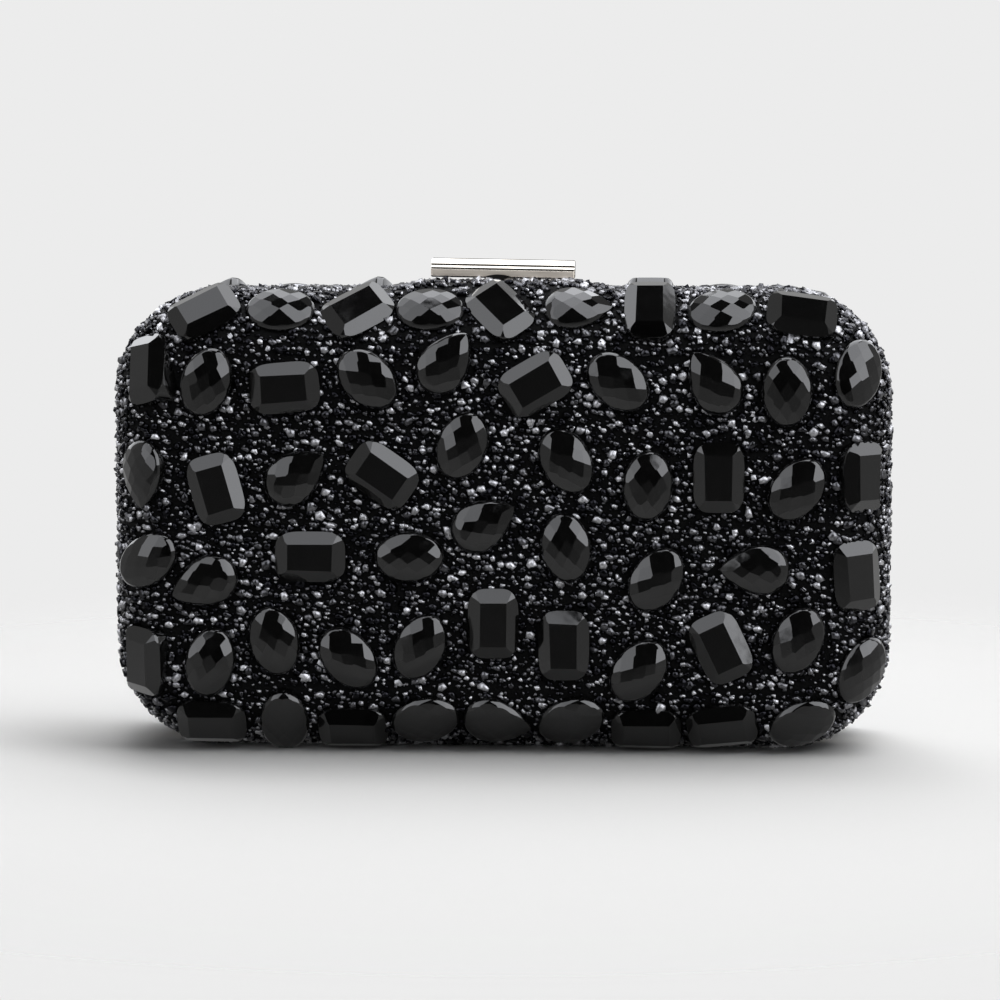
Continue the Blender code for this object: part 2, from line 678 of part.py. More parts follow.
def add_keeper():
    """The keeper under the front frame: a window plate with two riveted ears."""
    half_width = KEEPER_WIDTH / 2
    post_outer = KEEPER_WINDOW + KEEPER_POST
    ear_bottom = BRACKET_TOP - BRACKET_PLATE
    plate_depth = depth_range(FRONT, KEEPER_SETBACK, KEEPER_FRONT)
    crossbar = box((-post_outer, post_outer), plate_depth, (KEEPER_TOP - KEEPER_BAR, KEEPER_TOP))
    keeper = add_object("clasp_keeper", crossbar, METAL_LOOK)
    for hand, sign in (("left", -1), ("right", 1)):
        combine(keeper, "UNION", f"{hand}_post",
                box((sign * KEEPER_WINDOW, sign * post_outer), plate_depth,
                    (KEEPER_TOP - KEEPER_BAR / 2, BRACKET_TOP - BRACKET_PLATE / 2)))
        combine(keeper, "UNION", f"{hand}_ear",
                box((sign * KEEPER_WINDOW, sign * half_width),
                    depth_range(FRONT, RIVET_SETBACK - KEEPER_EAR / 2,
                                RIVET_SETBACK + KEEPER_EAR / 2),
                    (ear_bottom, BRACKET_TOP)))
        combine(keeper, "DIFFERENCE", f"{hand}_rivet_hole",
                rod(RIVET_RADIUS + FIT_GAP,
                    (sign * RIVET_SPACING / 2, -RIVET_SETBACK, BRACKET_TOP - BRACKET_PLATE / 2),
                    BRACKET_PLATE + 2 * OVERRUN, "Z"))
    ride(keeper, FRONT_PIVOT)


def add_rivets():
    """Two rivets for the bracket and two for the keeper."""
    head_top = BRACKET_TOP - BRACKET_PLATE - FIT_GAP
    shank = FRAME_UNDERSIDE + LIP_THICKNESS - head_top
    profile = [(0.0, shank), (RIVET_RADIUS, shank), (RIVET_RADIUS, 0.0),
               (RIVET_HEAD_RADIUS, 0.0), (RIVET_HEAD_RADIUS, -RIVET_HEAD_THICKNESS),
               (0.0, -RIVET_HEAD_THICKNESS)]
    for hand, sign in (("left", -1), ("right", 1)):
        place = Matrix.Translation((sign * RIVET_SPACING / 2, RIVET_SETBACK, head_top))
        turned(f"{hand}_bracket_rivet", profile, place, METAL_LOOK)
        place = Matrix.Translation((sign * RIVET_SPACING / 2, -RIVET_SETBACK, head_top))
        rivet = turned(f"{hand}_keeper_rivet", profile, place, METAL_LOOK)
        ride(rivet, FRONT_PIVOT)


def add_spring():
    """The small coil spring under the lever's tail."""
    count = SPRING_TURNS * POINTS_PER_TURN
    low = SPRING_BOTTOM + SPRING_WIRE
    rise = SPRING_HEIGHT - 2 * SPRING_WIRE
    curve = bpy.data.curves.new("clasp_spring", "CURVE")
    curve.dimensions = "3D"
    curve.bevel_depth = SPRING_WIRE
    curve.bevel_resolution = 1
    curve.use_fill_caps = True
    spline = curve.splines.new("POLY")
    spline.points.add(count)
    for step, point in enumerate(spline.points):
        angle = 2 * math.pi * step / POINTS_PER_TURN
        point.co = (SPRING_RADIUS * math.cos(angle),
                    SPRING_SETBACK + SPRING_RADIUS * math.sin(angle),
                    low + rise * step / count, 1.0)
    spring = bpy.data.objects.new("clasp_spring", curve)
    curve.materials.append(new_material("clasp_spring", *METAL_LOOK))
    PARTS.objects.link(spring)


def add_clasp():
    """Bar, lever, pin, spring, bracket, keeper and rivets."""
    add_lever()
    add_bar()
    add_bracket()
    add_keeper()
    add_rivets()
    add_spring()
    turned("clasp_pin", double_headed(CHEEK_OUTER + FIT_GAP),
           along_x((0.0, PIVOT_SETBACK, PIVOT_HEIGHT)), METAL_LOOK)


def add_pivot(name, place):
    """An empty on a joint's axis."""
    empty = bpy.data.objects.new(name, None)
    PARTS.objects.link(empty)
    empty.location = place
    bpy.context.view_layer.update()
    return empty


# Looks: colour, metallic and roughness
CRYSTAL_LOOK = ((0.035, 0.036, 0.040), 0.6, 0.35)
STONE_LOOK = ((0.012, 0.012, 0.013), 0.0, 0.05)
METAL_LOOK = ((0.72, 0.71, 0.69), 1.0, 0.18)
DARK_METAL_LOOK = ((0.20, 0.20, 0.20), 1.0, 0.30)
SHELL_LOOK = ((0.02, 0.02, 0.02), 0.0, 0.45)
LINING_LOOK = ((0.03, 0.03, 0.03), 0.0, 0.70)

# The widest swell of a pear's outline, which scales it to the stone's width
PEAR_SWELL = max(math.sin(math.pi * step / 180) * math.sin(math.pi * step / 360) ** PEAR_TAPER
                 for step in range(180))

clear_scene()
PARTS = new_collection("rhinestone_clutch")
CUTTERS = new_collection("cutters")
FRONT_PIVOT = add_pivot("front_half_pivot", (0.0, 0.0, HINGE_HEIGHT))
CLASP_PIVOT = add_pivot("clasp_pivot", (0.0, PIVOT_SETBACK, PIVOT_HEIGHT))
for half_side, half_word in ((BACK, "back"), (FRONT, "front")):
    half_parts = add_shells(half_side, half_word) + [add_frame(half_side, half_word)]
    if half_side == FRONT:
        for part in half_parts:
            ride(part, FRONT_PIVOT)
add_hinges()
add_clasp()
add_face_stones()
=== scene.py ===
"""Looks of a rhinestone clutch: crushed crystals, cut black stones, nickel clasp and satin lining.

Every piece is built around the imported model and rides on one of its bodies.
All sizes are in metres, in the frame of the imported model.
"""

import math

import bmesh
import bpy
import numpy as np
from bpy.props import FloatProperty, FloatVectorProperty, IntProperty, PointerProperty
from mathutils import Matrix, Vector


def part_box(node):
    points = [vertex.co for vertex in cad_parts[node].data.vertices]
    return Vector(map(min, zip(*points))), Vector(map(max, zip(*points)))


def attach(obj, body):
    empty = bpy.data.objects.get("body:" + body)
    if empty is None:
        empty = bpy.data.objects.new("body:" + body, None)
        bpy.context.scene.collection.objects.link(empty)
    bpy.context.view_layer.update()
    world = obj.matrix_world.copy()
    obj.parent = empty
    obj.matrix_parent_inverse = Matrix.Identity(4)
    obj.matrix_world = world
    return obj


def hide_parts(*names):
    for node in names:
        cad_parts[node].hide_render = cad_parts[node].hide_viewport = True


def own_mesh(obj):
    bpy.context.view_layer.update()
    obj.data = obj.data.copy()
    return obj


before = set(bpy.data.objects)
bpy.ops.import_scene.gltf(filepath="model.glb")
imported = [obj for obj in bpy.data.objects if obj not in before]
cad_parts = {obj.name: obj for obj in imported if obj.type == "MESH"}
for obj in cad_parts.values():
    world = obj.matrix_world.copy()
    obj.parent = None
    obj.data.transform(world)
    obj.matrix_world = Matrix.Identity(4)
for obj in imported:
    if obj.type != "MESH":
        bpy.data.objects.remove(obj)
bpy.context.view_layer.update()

bl_info = {
    "name": "Rhinestone clutch",
    "version": (1, 0, 0),
    "blender": (4, 5, 0),
    "location": "3D View > Sidebar > Clutch",
    "description": "Builds the looks of a hard two-half evening bag around its packed model",
    "category": "Add Mesh",
}

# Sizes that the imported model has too
BODY_WIDTH = 0.199
BODY_HEIGHT = 0.1175
HALF_DEPTH = 0.0235
CORNER_RADIUS = 0.027
SHOULDER_RADIUS = 0.016
TRAY_RIM = 0.00245
COVER_WALL = 0.0018
LINING_INSET = 0.0040
LINING_WALL = 0.0010
BAR_LENGTH = 0.0371
BAR_DEPTH = 0.0088
BAR_HEIGHT = 0.0047
BAR_BOTTOM = BODY_HEIGHT + 0.0031
STONE_LENGTH = 0.018
STONE_WIDTH = 0.013
STONE_HEIGHT = 0.0040
GIRDLE_HEIGHT = 0.0012
FACET_SHARE = 0.27
DOME_DROP = 0.70 * (STONE_HEIGHT - GIRDLE_HEIGHT)
PEAR_SHIFT = 0.14
PEAR_TAPER = 0.55
EMERALD_POWER = 4.0
SHOULDER_SINK = 0.0010
SHOULDER_LEAN = 0.90
FACE_LIFT = 0.0003
FLOOR_CLEARANCE = 0.00005

# The straight parts of the bag's outline run along this rectangle, set out by a corner radius
STRAIGHT_X = BODY_WIDTH / 2 - CORNER_RADIUS
STRAIGHT_Z = BODY_HEIGHT / 2 - CORNER_RADIUS
SIDE_FLAT = HALF_DEPTH - SHOULDER_RADIUS

# Stones on the flat front: cut, place across from the middle and up from the bottom as shares
# of half the width and of the height, turn in degrees
FACE_STONES = (
    ("oval", -0.748, 0.809, 72), ("emerald", -0.548, 0.797, 5), ("oval", -0.336, 0.817, -43),
    ("pear", -0.135, 0.854, 54), ("emerald", 0.092, 0.807, 30), ("oval", 0.302, 0.812, -40),
    ("pear", 0.543, 0.813, 124), ("oval", 0.730, 0.792, 90), ("emerald", -0.725, 0.577, -75),
    ("pear", -0.519, 0.606, 38), ("emerald", -0.299, 0.609, -35), ("oval", -0.094, 0.673, 68),
    ("oval", 0.171, 0.641, -60), ("oval", 0.379, 0.588, 85), ("emerald", 0.559, 0.606, 90),
    ("oval", 0.757, 0.581, 52), ("pear", -0.758, 0.372, 203), ("emerald", -0.484, 0.430, 0),
    ("oval", -0.230, 0.431, 0), ("pear", -0.038, 0.504, 30), ("oval", 0.171, 0.453, -80),
    ("oval", 0.401, 0.384, 55), ("pear", 0.652, 0.407, 180), ("oval", -0.744, 0.198, 78),
    ("oval", -0.578, 0.245, -75), ("oval", -0.388, 0.209, -48), ("oval", -0.203, 0.234, 62),
    ("emerald", -0.015, 0.286, 90), ("emerald", 0.166, 0.239, 90), ("oval", 0.358, 0.185, 50),
    ("emerald", 0.567, 0.237, -65), ("oval", 0.763, 0.253, 65),
)

# Stones on the rounded shoulder, in the same terms; a fifth value is the sine of a stone's
# tilt, where it isn't the usual one
SHOULDER_STONES = (
    ("emerald", -0.759, 0.957, 30), ("oval", -0.563, 0.961, 0), ("emerald", -0.365, 0.960, 35),
    ("oval", -0.179, 0.962, 0), ("emerald", 0.000, 0.962, -50), ("pear", 0.199, 0.966, 0),
    ("emerald", 0.382, 0.963, 90), ("oval", 0.565, 0.961, 10), ("emerald", 0.768, 0.954, -5),
    ("emerald", -0.903, 0.834, 90, 0.69), ("oval", 0.910, 0.829, 75),
    ("pear", -0.918, 0.605, -90, 0.60), ("emerald", 0.925, 0.605, 90, 0.64),
    ("oval", -0.906, 0.417, 35), ("emerald", 0.911, 0.391, -85, 0.42),
    ("emerald", -0.921, 0.195, 90, 0.64), ("oval", 0.928, 0.184, 60, 0.55),
    ("emerald", -0.746, 0.062, 0), ("oval", -0.557, 0.065, 90), ("emerald", -0.380, 0.050, 0),
    ("oval", -0.192, 0.070, 12), ("pear", -0.006, 0.067, -12), ("oval", 0.184, 0.070, 20),
    ("emerald", 0.377, 0.051, 0), ("emerald", 0.572, 0.060, 8), ("oval", 0.777, 0.068, 25),
)

# On the front half, crystals are heaped up a little on the top edge, under the clasp bar
CLASP_HEAP = 0.0022
CLASP_HEAP_REACH = 0.020
CLASP_HEAP_DROP = 0.010

HALVES = (("front", -1), ("back", 1))


# Colours, nodes and materials

def linear(code):
    """An sRGB hex colour as linear red, green and blue."""
    parts = [int(code[place:place + 2], 16) / 255 for place in (1, 3, 5)]
    return tuple(part / 12.92 if part <= 0.04045 else ((part + 0.055) / 1.055) ** 2.4
                 for part in parts)


def scaled(colour, share):
    """A colour times a share."""
    return tuple(part * share for part in colour)


def set_sockets(tree, node, values):
    """Set sockets of a node; a value that is a socket itself is linked."""
    for socket, value in values.items():
        if isinstance(value, bpy.types.NodeSocket):
            tree.links.new(value, node.inputs[socket])
        else:
            node.inputs[socket].default_value = value


def add_node(tree, kind, values=None, **settings):
    """Add a node with its settings and with values or links on its sockets."""
    node = tree.nodes.new(kind)
    for name, value in settings.items():
        setattr(node, name, value)
    set_sockets(tree, node, values or {})
    return node


def noise(tree, place, scale, detail):
    """A noise texture at a place."""
    return add_node(tree, "ShaderNodeTexNoise", {
        "Vector": place, "Scale": scale, "Detail": detail}).outputs["Fac"]


def ranged(tree, value, start, end, low, high, **settings):
    """A value that goes from low to high while another one goes from start to end."""
    return add_node(tree, "ShaderNodeMapRange", {
        "Value": value, "From Min": start, "From Max": end, "To Min": low, "To Max": high,
    }, **settings).outputs["Result"]


def math_result(tree, operation, *values):
    """What a Math node makes of one to three values."""
    node = add_node(tree, "ShaderNodeMath", dict(enumerate(values)), operation=operation)
    return node.outputs[0]


def mixed_colour(tree, share, first, second):
    """A colour that goes from the first to the second while a share goes from 0 to 1."""
    # Sockets 0, 6 and 7 are the Mix node's factor and two colours, and output 2 is its colour
    node = add_node(tree, "ShaderNodeMix", {0: share, 6: first, 7: second}, data_type="RGBA")
    return node.outputs[2]


def stretched(tree, place, scale):
    """A place scaled along the three axes."""
    return add_node(tree, "ShaderNodeMapping", {"Vector": place, "Scale": scale}).outputs["Vector"]


def start_material(name):
    """A new material, its tree, its Principled shader, and Object coordinates in the tree."""
    material = bpy.data.materials.new(name)
    material.use_nodes = True
    tree = material.node_tree
    place = add_node(tree, "ShaderNodeTexCoord").outputs["Object"]
    return material, tree, tree.nodes["Principled BSDF"], place


def set_finish(tree, shader, textures, roughness, colours, depth, sockets):
    """Roughness, colour and relief that follow three textures; the other sockets are uniform.

    The roughness goes from its lower end to its higher one while its texture goes from 0.3 to
    0.7, and the colour from the first to the second while its own texture goes from 0 to 1.
    """
    rough = ranged(tree, textures[0], 0.3, 0.7, *roughness)
    tint = mixed_colour(tree, textures[1], *((*colour, 1.0) for colour in colours))
    bump = add_node(tree, "ShaderNodeBump", {"Height": textures[2], "Distance": depth})
    set_sockets(tree, shader, {
        "Base Color": tint, "Roughness": rough, "Normal": bump.outputs["Normal"], **sockets})


def crushed_crystal_material(sizes):
    """Crushed crystal with a hematite mirror coat: dark grains, and a few that flash."""
    material, tree, shader, place = start_material("crushed_crystal_hematite")
    shade = add_node(tree, "ShaderNodeAttribute", attribute_name="shade").outputs["Fac"]
    ramp = add_node(tree, "ShaderNodeValToRGB", {"Fac": shade})
    for position in (0.30, 0.70):
        ramp.color_ramp.elements.new(position)
    colours = (sizes.crystal_dark, sizes.crystal_dark, sizes.crystal_middle, sizes.crystal_light)
    for element, colour in zip(ramp.color_ramp.elements, colours):
        element.color = (*colour, 1.0)
    # Chipped faces: pits about 0.6 mm apart, where the mirror coat is dull or gone
    chips = noise(tree, place, 1700.0, 3.0)
    # Light grains are frosted and dark ones glossy
    frost = ranged(tree, shade, 0.3, 0.9, 0.06, 0.34)
    rough = math_result(tree, "MULTIPLY_ADD", chips, 0.24, frost)
    worn = ranged(tree, chips, 0.36, 0.52, 0.60, 1.0)
    tint = mixed_colour(tree, worn, (0.0, 0.0, 0.0, 1.0), ramp.outputs["Color"])
    bump = add_node(tree, "ShaderNodeBump", {"Height": chips, "Distance": 0.000018})
    set_sockets(tree, shader, {
        "Base Color": tint, "Metallic": 1.0, "Roughness": rough,
        "Normal": bump.outputs["Normal"]})
    return material


def cut_stone_material(sizes):
    """Jet black pressed glass, fire polished: black inside with a clear mirror gloss."""
    material, tree, shader, place = start_material("jet_pressed_glass")
    # Polishing haze in clouds of 4 mm, and the faint waves that a fire polish leaves
    haze = noise(tree, place, 250.0, 3.0)
    waves = noise(tree, place, 280.0, 1.0)
    colours = sizes.stone_colour, scaled(sizes.stone_colour, 2)
    set_finish(tree, shader, (haze, haze, waves), (0.02, 0.06), colours, 0.000008,
               {"IOR": 1.52})
    return material


def resin_material():
    """Black epoxy that the crystals are bedded in: a wet dark ground between the grains."""
    material, tree, shader, place = start_material("black_bedding_resin")
    # Ripples 0.7 mm apart, where the resin climbed the grains
    ripples = noise(tree, place, 1400.0, 4.0)
    set_finish(tree, shader, (ripples,) * 3, (0.5, 0.75), (linear("#010101"), linear("#060607")),
               0.00025, {"IOR": 1.5, "Specular IOR Level": 0.06})
    return material


def moulded_plastic_material():
    """Black injection moulded ABS with the fine spark grain of its mould."""
    material, tree, shader, place = start_material("moulded_black_plastic")
    # Spark grain 0.5 mm across
    grain = noise(tree, place, 2000.0, 3.0)
    set_finish(tree, shader, (grain,) * 3, (0.42, 0.55), (linear("#121213"), linear("#1C1C1E")),
               0.00004, {"IOR": 1.53})
    return material


def satin_material(sizes):
    """Charcoal satin: smooth floating threads that catch the light in bands, with a soft sheen."""
    material, tree, shader, place = start_material("charcoal_satin")
    # Threads really lie 0.1 mm apart, and are drawn 0.5 mm apart so that they show
    threads = add_node(tree, "ShaderNodeTexWave", {
        "Vector": place, "Scale": 320.0, "Distortion": 2.0, "Detail": 1.0,
        "Detail Scale": 2.0}, wave_type="BANDS", bands_direction="X")
    slub = noise(tree, stretched(tree, place, (1.0, 1.0, 0.08)), 1100.0, 3.0)
    height = math_result(tree, "MULTIPLY", threads.outputs["Fac"], slub)
    colours = scaled(sizes.lining_colour, 0.7), scaled(sizes.lining_colour, 1.6)
    set_finish(tree, shader, (slub, slub, height), (0.34, 0.48), colours, 0.00008,
               {"Anisotropic": 0.6, "Sheen Weight": 0.35, "Sheen Roughness": 0.4})
    return material


def metal_material(name, colour, roughness, stretch, grain, depth):
    """A metal with drawn or polishing lines; grain is their spacing, stretched along an axis."""
    material, tree, shader, place = start_material(name)
    lines = noise(tree, stretched(tree, place, stretch), 1.0 / grain, 3.0)
    # Handling marks in clouds of 6 mm
    cloud = noise(tree, place, 165.0, 2.0)
    set_finish(tree, shader, (lines, cloud, lines), roughness, (scaled(colour, 0.9), colour),
               depth, {"Metallic": 1.0})
    return material


# Meshes

def mesh_from_arrays(name, vertices, loops, sizes):
    """A mesh from an array of points, the corners of all faces in a row, and each face's size."""
    mesh = bpy.data.meshes.new(name)
    mesh.vertices.add(len(vertices))
    mesh.vertices.foreach_set("co", np.ascontiguousarray(vertices, np.float32).ravel())
    mesh.loops.add(len(loops))
    mesh.loops.foreach_set("vertex_index", np.ascontiguousarray(loops, np.int32))
    mesh.polygons.add(len(sizes))
    starts = np.concatenate(([0], np.cumsum(sizes)[:-1]))
    mesh.polygons.foreach_set("loop_start", starts.astype(np.int32))
    mesh.update(calc_edges=True)
    return mesh


def grid_quads(rows, columns):
    """Corners of the quads between rings that are closed round, one ring after the other."""
    row, column = np.meshgrid(np.arange(rows - 1), np.arange(columns), indexing="ij")
    following = (column + 1) % columns
    return np.stack([row * columns + column, row * columns + following,
                     (row + 1) * columns + following, (row + 1) * columns + column],
                    axis=-1).reshape(-1, 4)


def mesh_from_rings(name, rings):
    """A closed mesh from rings of points: quads between rings and a flat face on both ends."""
    rows, columns = rings.shape[:2]
    quads = grid_quads(rows, columns)
    caps = np.concatenate([np.arange(columns)[::-1], (rows - 1) * columns + np.arange(columns)])
    loops = np.concatenate([quads.ravel(), caps])
    sizes = np.concatenate([np.full(len(quads), 4), [columns, columns]])
    mesh = mesh_from_arrays(name, rings.reshape(-1, 3), loops, sizes)
    bm = bmesh.new()
    bm.from_mesh(mesh)
    bmesh.ops.recalc_face_normals(bm, faces=bm.faces)
    bm.to_mesh(mesh)
    bm.free()
    return mesh


def add_object(name, data):
    """A new object in the scene, at the origin."""
    item = bpy.data.objects.new(name, data)
    bpy.context.scene.collection.objects.link(item)
    return item


def add_piece(mesh, material, body, sharp=None):
    """Link a mesh as a piece that rides on a body; a sharp angle shades the rest smooth."""
    if sharp is not None:
        mesh.shade_smooth()
        mesh.set_sharp_from_angle(angle=math.radians(sharp))
    mesh.materials.append(material)
    item = add_object(mesh.name, mesh)
    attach(item, body)
    return item


def dress(node, material):
    """Give a CAD node a better material."""
    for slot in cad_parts[node].material_slots:
        slot.material = material


# The skin of the bag

def outline_walk(distance, radius):
    """Where distances along a rounded outline lie: the rectangle's point and the outward normal.

    Four straights and four quarter turns follow each other; the normal's angle and the
    rectangle's point are linear in the distance on each of them.
    """
    straights = [2 * STRAIGHT_Z, 2 * STRAIGHT_X] * 2
    turn = radius * math.pi / 2
    steps = np.cumsum([0.0] + [length for straight in straights for length in (straight, turn)])
    corner_x = STRAIGHT_X * np.array([1, 1, 1, -1, -1, -1, -1, 1, 1])
    corner_z = STRAIGHT_Z * np.array([-1, 1, 1, 1, 1, -1, -1, -1, -1])
    angles = math.pi / 2 * np.array([0, 0, 1, 1, 2, 2, 3, 3, 4])
    distance = np.mod(distance, steps[-1])
    angle = np.interp(distance, steps, angles)
    return (np.interp(distance, steps, corner_x), np.interp(distance, steps, corner_z),
            np.cos(angle), np.sin(angle))


def outline_length(radius):
    """Length of a rounded outline."""
    return 4 * (STRAIGHT_X + STRAIGHT_Z) + 2 * math.pi * radius


def even_walk(corner_steps=16, long_steps=28, short_steps=14):
    """Rectangle points and normals round the outline, the same number at every inset."""
    parts = []
    turn = math.pi / 2
    lengths = [2 * STRAIGHT_Z, turn, 2 * STRAIGHT_X, turn] * 2
    counts = [short_steps, corner_steps, long_steps, corner_steps] * 2
    start = 0.0
    for length, count in zip(lengths, counts):
        parts.append(start + length * np.arange(count) / count)
        start += length
    return outline_walk(np.concatenate(parts), 1.0)


def profile(inset, rim, arc_steps=10):
    """Inset and depth of a half's wall at rows from its rim over the shoulder to its face."""
    radius = SHOULDER_RADIUS - inset
    angle = np.linspace(0.0, math.pi / 2, arc_steps + 1)
    band = np.linspace(rim, SIDE_FLAT, 3)[:-1]
    return (np.concatenate([np.full(2, inset), SHOULDER_RADIUS - radius * np.cos(angle)]),
            np.concatenate([band, SIDE_FLAT + radius * np.sin(angle)]))


def rings_at(insets, depths, side, walk=None):
    """Rings of the bag's outline at pairs of inset and depth.

    Each point is the rectangle's point plus the outward normal times the corner radius less
    the inset.
    """
    x, z, normal_x, normal_z = even_walk() if walk is None else walk
    radius = CORNER_RADIUS - np.asarray(insets)[:, None]
    depth = np.broadcast_to(side * np.asarray(depths)[:, None], (len(insets), len(x)))
    return np.stack([x + radius * normal_x, depth, z + radius * normal_z + BODY_HEIGHT / 2],
                    axis=-1)


def heaped(points):
    """Points of the front half's skin raised on the top edge near the clasp.

    The rise is the heap times a share that falls from 1 to 0 between one and one and a half
    reaches from the middle, times the square of a share that grows from 0 to 1 over the top
    centimetre.
    """
    points = points.copy()
    aside = np.clip(3.0 - 2.0 * np.abs(points[..., 0]) / CLASP_HEAP_REACH, 0, 1)
    up = np.clip((points[..., 2] - BODY_HEIGHT) / CLASP_HEAP_DROP + 1.0, 0, 1)
    points[..., 2] += CLASP_HEAP * aside * up ** 2 * (points[..., 1] < 0)
    return points


def face_distance(points):
    """Signed distance across the bag to the edge of its flat face."""
    past_x = np.abs(points[..., 0]) - STRAIGHT_X
    past_z = np.abs(points[..., 2] - BODY_HEIGHT / 2) - STRAIGHT_Z
    inner = CORNER_RADIUS - SHOULDER_RADIUS
    return (np.hypot(np.maximum(past_x, 0), np.maximum(past_z, 0))
            + np.minimum(np.maximum(past_x, past_z), 0) - inner)


def skin_distance(points):
    """Signed distance to the bag's skin: a flat rounded slab set out by the shoulder's radius."""
    flat = face_distance(points)
    deep = np.abs(points[..., 1]) - SIDE_FLAT
    return (np.hypot(np.maximum(flat, 0), np.maximum(deep, 0))
            + np.minimum(np.maximum(flat, deep), 0) - SHOULDER_RADIUS)


def skin_place(across_share, up_share, turn, side, lift, tilt=None):
    """Centre of a stone on the skin, and its long axis, width and outward normal as rows."""
    place = np.array([across_share * BODY_WIDTH / 2, 0.0, (up_share - 0.5) * BODY_HEIGHT])
    straight = np.array([STRAIGHT_X, 0.0, STRAIGHT_Z])
    outward = np.sign(place) * np.maximum(np.abs(place) - straight, 0.0)
    reach = np.linalg.norm(outward)
    outward /= reach or 1.0
    lean = max(0.0, min(1.0, (SHOULDER_RADIUS - (CORNER_RADIUS - reach)) / SHOULDER_RADIUS))
    depth = HALF_DEPTH - SHOULDER_RADIUS * (1.0 - math.sqrt(1.0 - lean ** 2))
    # A stone on the shoulder was pressed on from the front, so it leans a little less
    lean = SHOULDER_LEAN * lean if tilt is None else tilt
    normal = outward * lean + np.array([0.0, side * math.sqrt(1.0 - lean ** 2), 0.0])
    level = np.array([1.0, 0.0, 0.0]) - normal * normal[0]
    level /= np.linalg.norm(level)
    upright = np.cross(normal, level)
    upright *= -1.0 if upright[2] < 0 else 1.0
    turn = math.radians(turn)
    along = level * math.cos(turn) + upright * math.sin(turn)
    across = upright * math.cos(turn) - level * math.sin(turn)
    centre = place + np.array([0.0, side * depth, BODY_HEIGHT / 2]) + normal * lift
    return centre, np.stack([along, across, normal])


def stone_table(side):
    """Every stone of one half: cut, centre and axes, the flat front's first."""
    return [(cut, *skin_place(across_share, up_share, turn, side, lift, *tilt))
            for table, lift in ((FACE_STONES, FACE_LIFT), (SHOULDER_STONES, -SHOULDER_SINK))
            for cut, across_share, up_share, turn, *tilt in table]


# Cut stones

# The emerald cut: half its table's length and width, and how steeply the facets at its ends,
# long sides and corners fall
TABLE_X, TABLE_Y = 0.0057, 0.0034
END_SLOPE, LONG_SLOPE, CORNER_SLOPE = 0.80, 0.84, 0.565
# How far out a corner facet starts at least and at most, how fast the mitre falls there, and
# how much steeper the outermost one is
CORNER_START, CORNER_END, MITRE_FALL, CORNER_STEEPER = 0.0001, 0.0012, 0.80, 0.05

# How far the cutting planes are off their true places: down, up and in slope
FACET_DOWN, FACET_UP, FACET_TILT = 0.00006, 0.00003, 0.025

# How high a dome rises over the girdle before it is cut, how far its foot is sunk, and where
# the round rim's own edges turn sharp
EMERALD_RISE, ROUND_RISE, FOOT_SINK = 0.0050, 0.0031, 0.0012
RIM_SHARP = math.radians(40)


def pear_width(angle):
    """Width of a pear at an angle from its tip, as a share of its widest place.

    It follows the sine of the angle times a power of the sine of half the angle.
    """
    widest, swell = (np.sin(turn) * np.sin(turn / 2) ** PEAR_TAPER
                     for turn in (np.linspace(0, math.pi, 181), angle))
    return swell / widest.max()


def stone_outline(cut, count=56):
    """Outline of a cut, its long axis along X: an ellipse, a superellipse or a pear."""
    angle = 2 * math.pi * (np.arange(count) + 0.5) / count
    across, up = np.cos(angle), np.sin(angle)
    if cut == "emerald":
        across, up = (np.sign(share) * np.abs(share) ** (2 / EMERALD_POWER)
                      for share in (across, up))
    if cut == "pear":
        up = np.sign(up) * pear_width(np.minimum(angle, 2 * math.pi - angle))
    return STONE_LENGTH / 2 * across, STONE_WIDTH / 2 * up


def stone_blank(cut, centre, axes):
    """Rings of an uncut stone: the outline drawn in over a rounded dome.

    At a share f of the outline the dome stands at girdle + rise * (1 - f ** 2.4) ** 0.6. The
    foot follows the skin, a little below it, and no point is below the floor.
    """
    x, y = stone_outline(cut)
    share = np.cos(np.linspace(0.0, math.pi / 2, 11))[:-1, None] ** 0.8
    rise = EMERALD_RISE if cut == "emerald" else ROUND_RISE
    height = GIRDLE_HEIGHT + rise * (1.0 - share ** 2.4) ** 0.6
    crown = np.stack([share * x, share * y, np.repeat(height, len(x), axis=1)], axis=-1)
    foot = np.stack([x, y, np.zeros_like(x)], axis=-1) @ axes + centre
    for _ in range(8):
        foot = foot - (skin_distance(foot) + FOOT_SINK)[:, None] * axes[2]
    rings = np.concatenate([foot[None], crown @ axes + centre])[::-1]
    rings[..., 2] = np.maximum(rings[..., 2], FLOOR_CLEARANCE)
    return rings


def emerald_planes(generator):
    """The emerald's planes: its table, both ends, both long sides and the four corners."""
    planes = [((0, 0, STONE_HEIGHT), (0, 0, 1))]
    planes += [((sign * TABLE_X, 0, STONE_HEIGHT), (sign * END_SLOPE, 0, 1))
               for sign in (-1, 1)]
    planes += [((0, sign * TABLE_Y, STONE_HEIGHT), (0, sign * LONG_SLOPE, 1))
               for sign in (-1, 1)]
    # Each corner facet starts some way down the mitre
    for sign_x, sign_y in ((-1, -1), (-1, 1), (1, -1), (1, 1)):
        out = generator.uniform(CORNER_START, CORNER_END)
        slope = CORNER_SLOPE + CORNER_STEEPER * out / CORNER_END
        planes.append(((sign_x * (TABLE_X + out), sign_y * (TABLE_Y + out),
                        STONE_HEIGHT - MITRE_FALL * out), (sign_x * slope, sign_y * slope, 1)))
    return planes


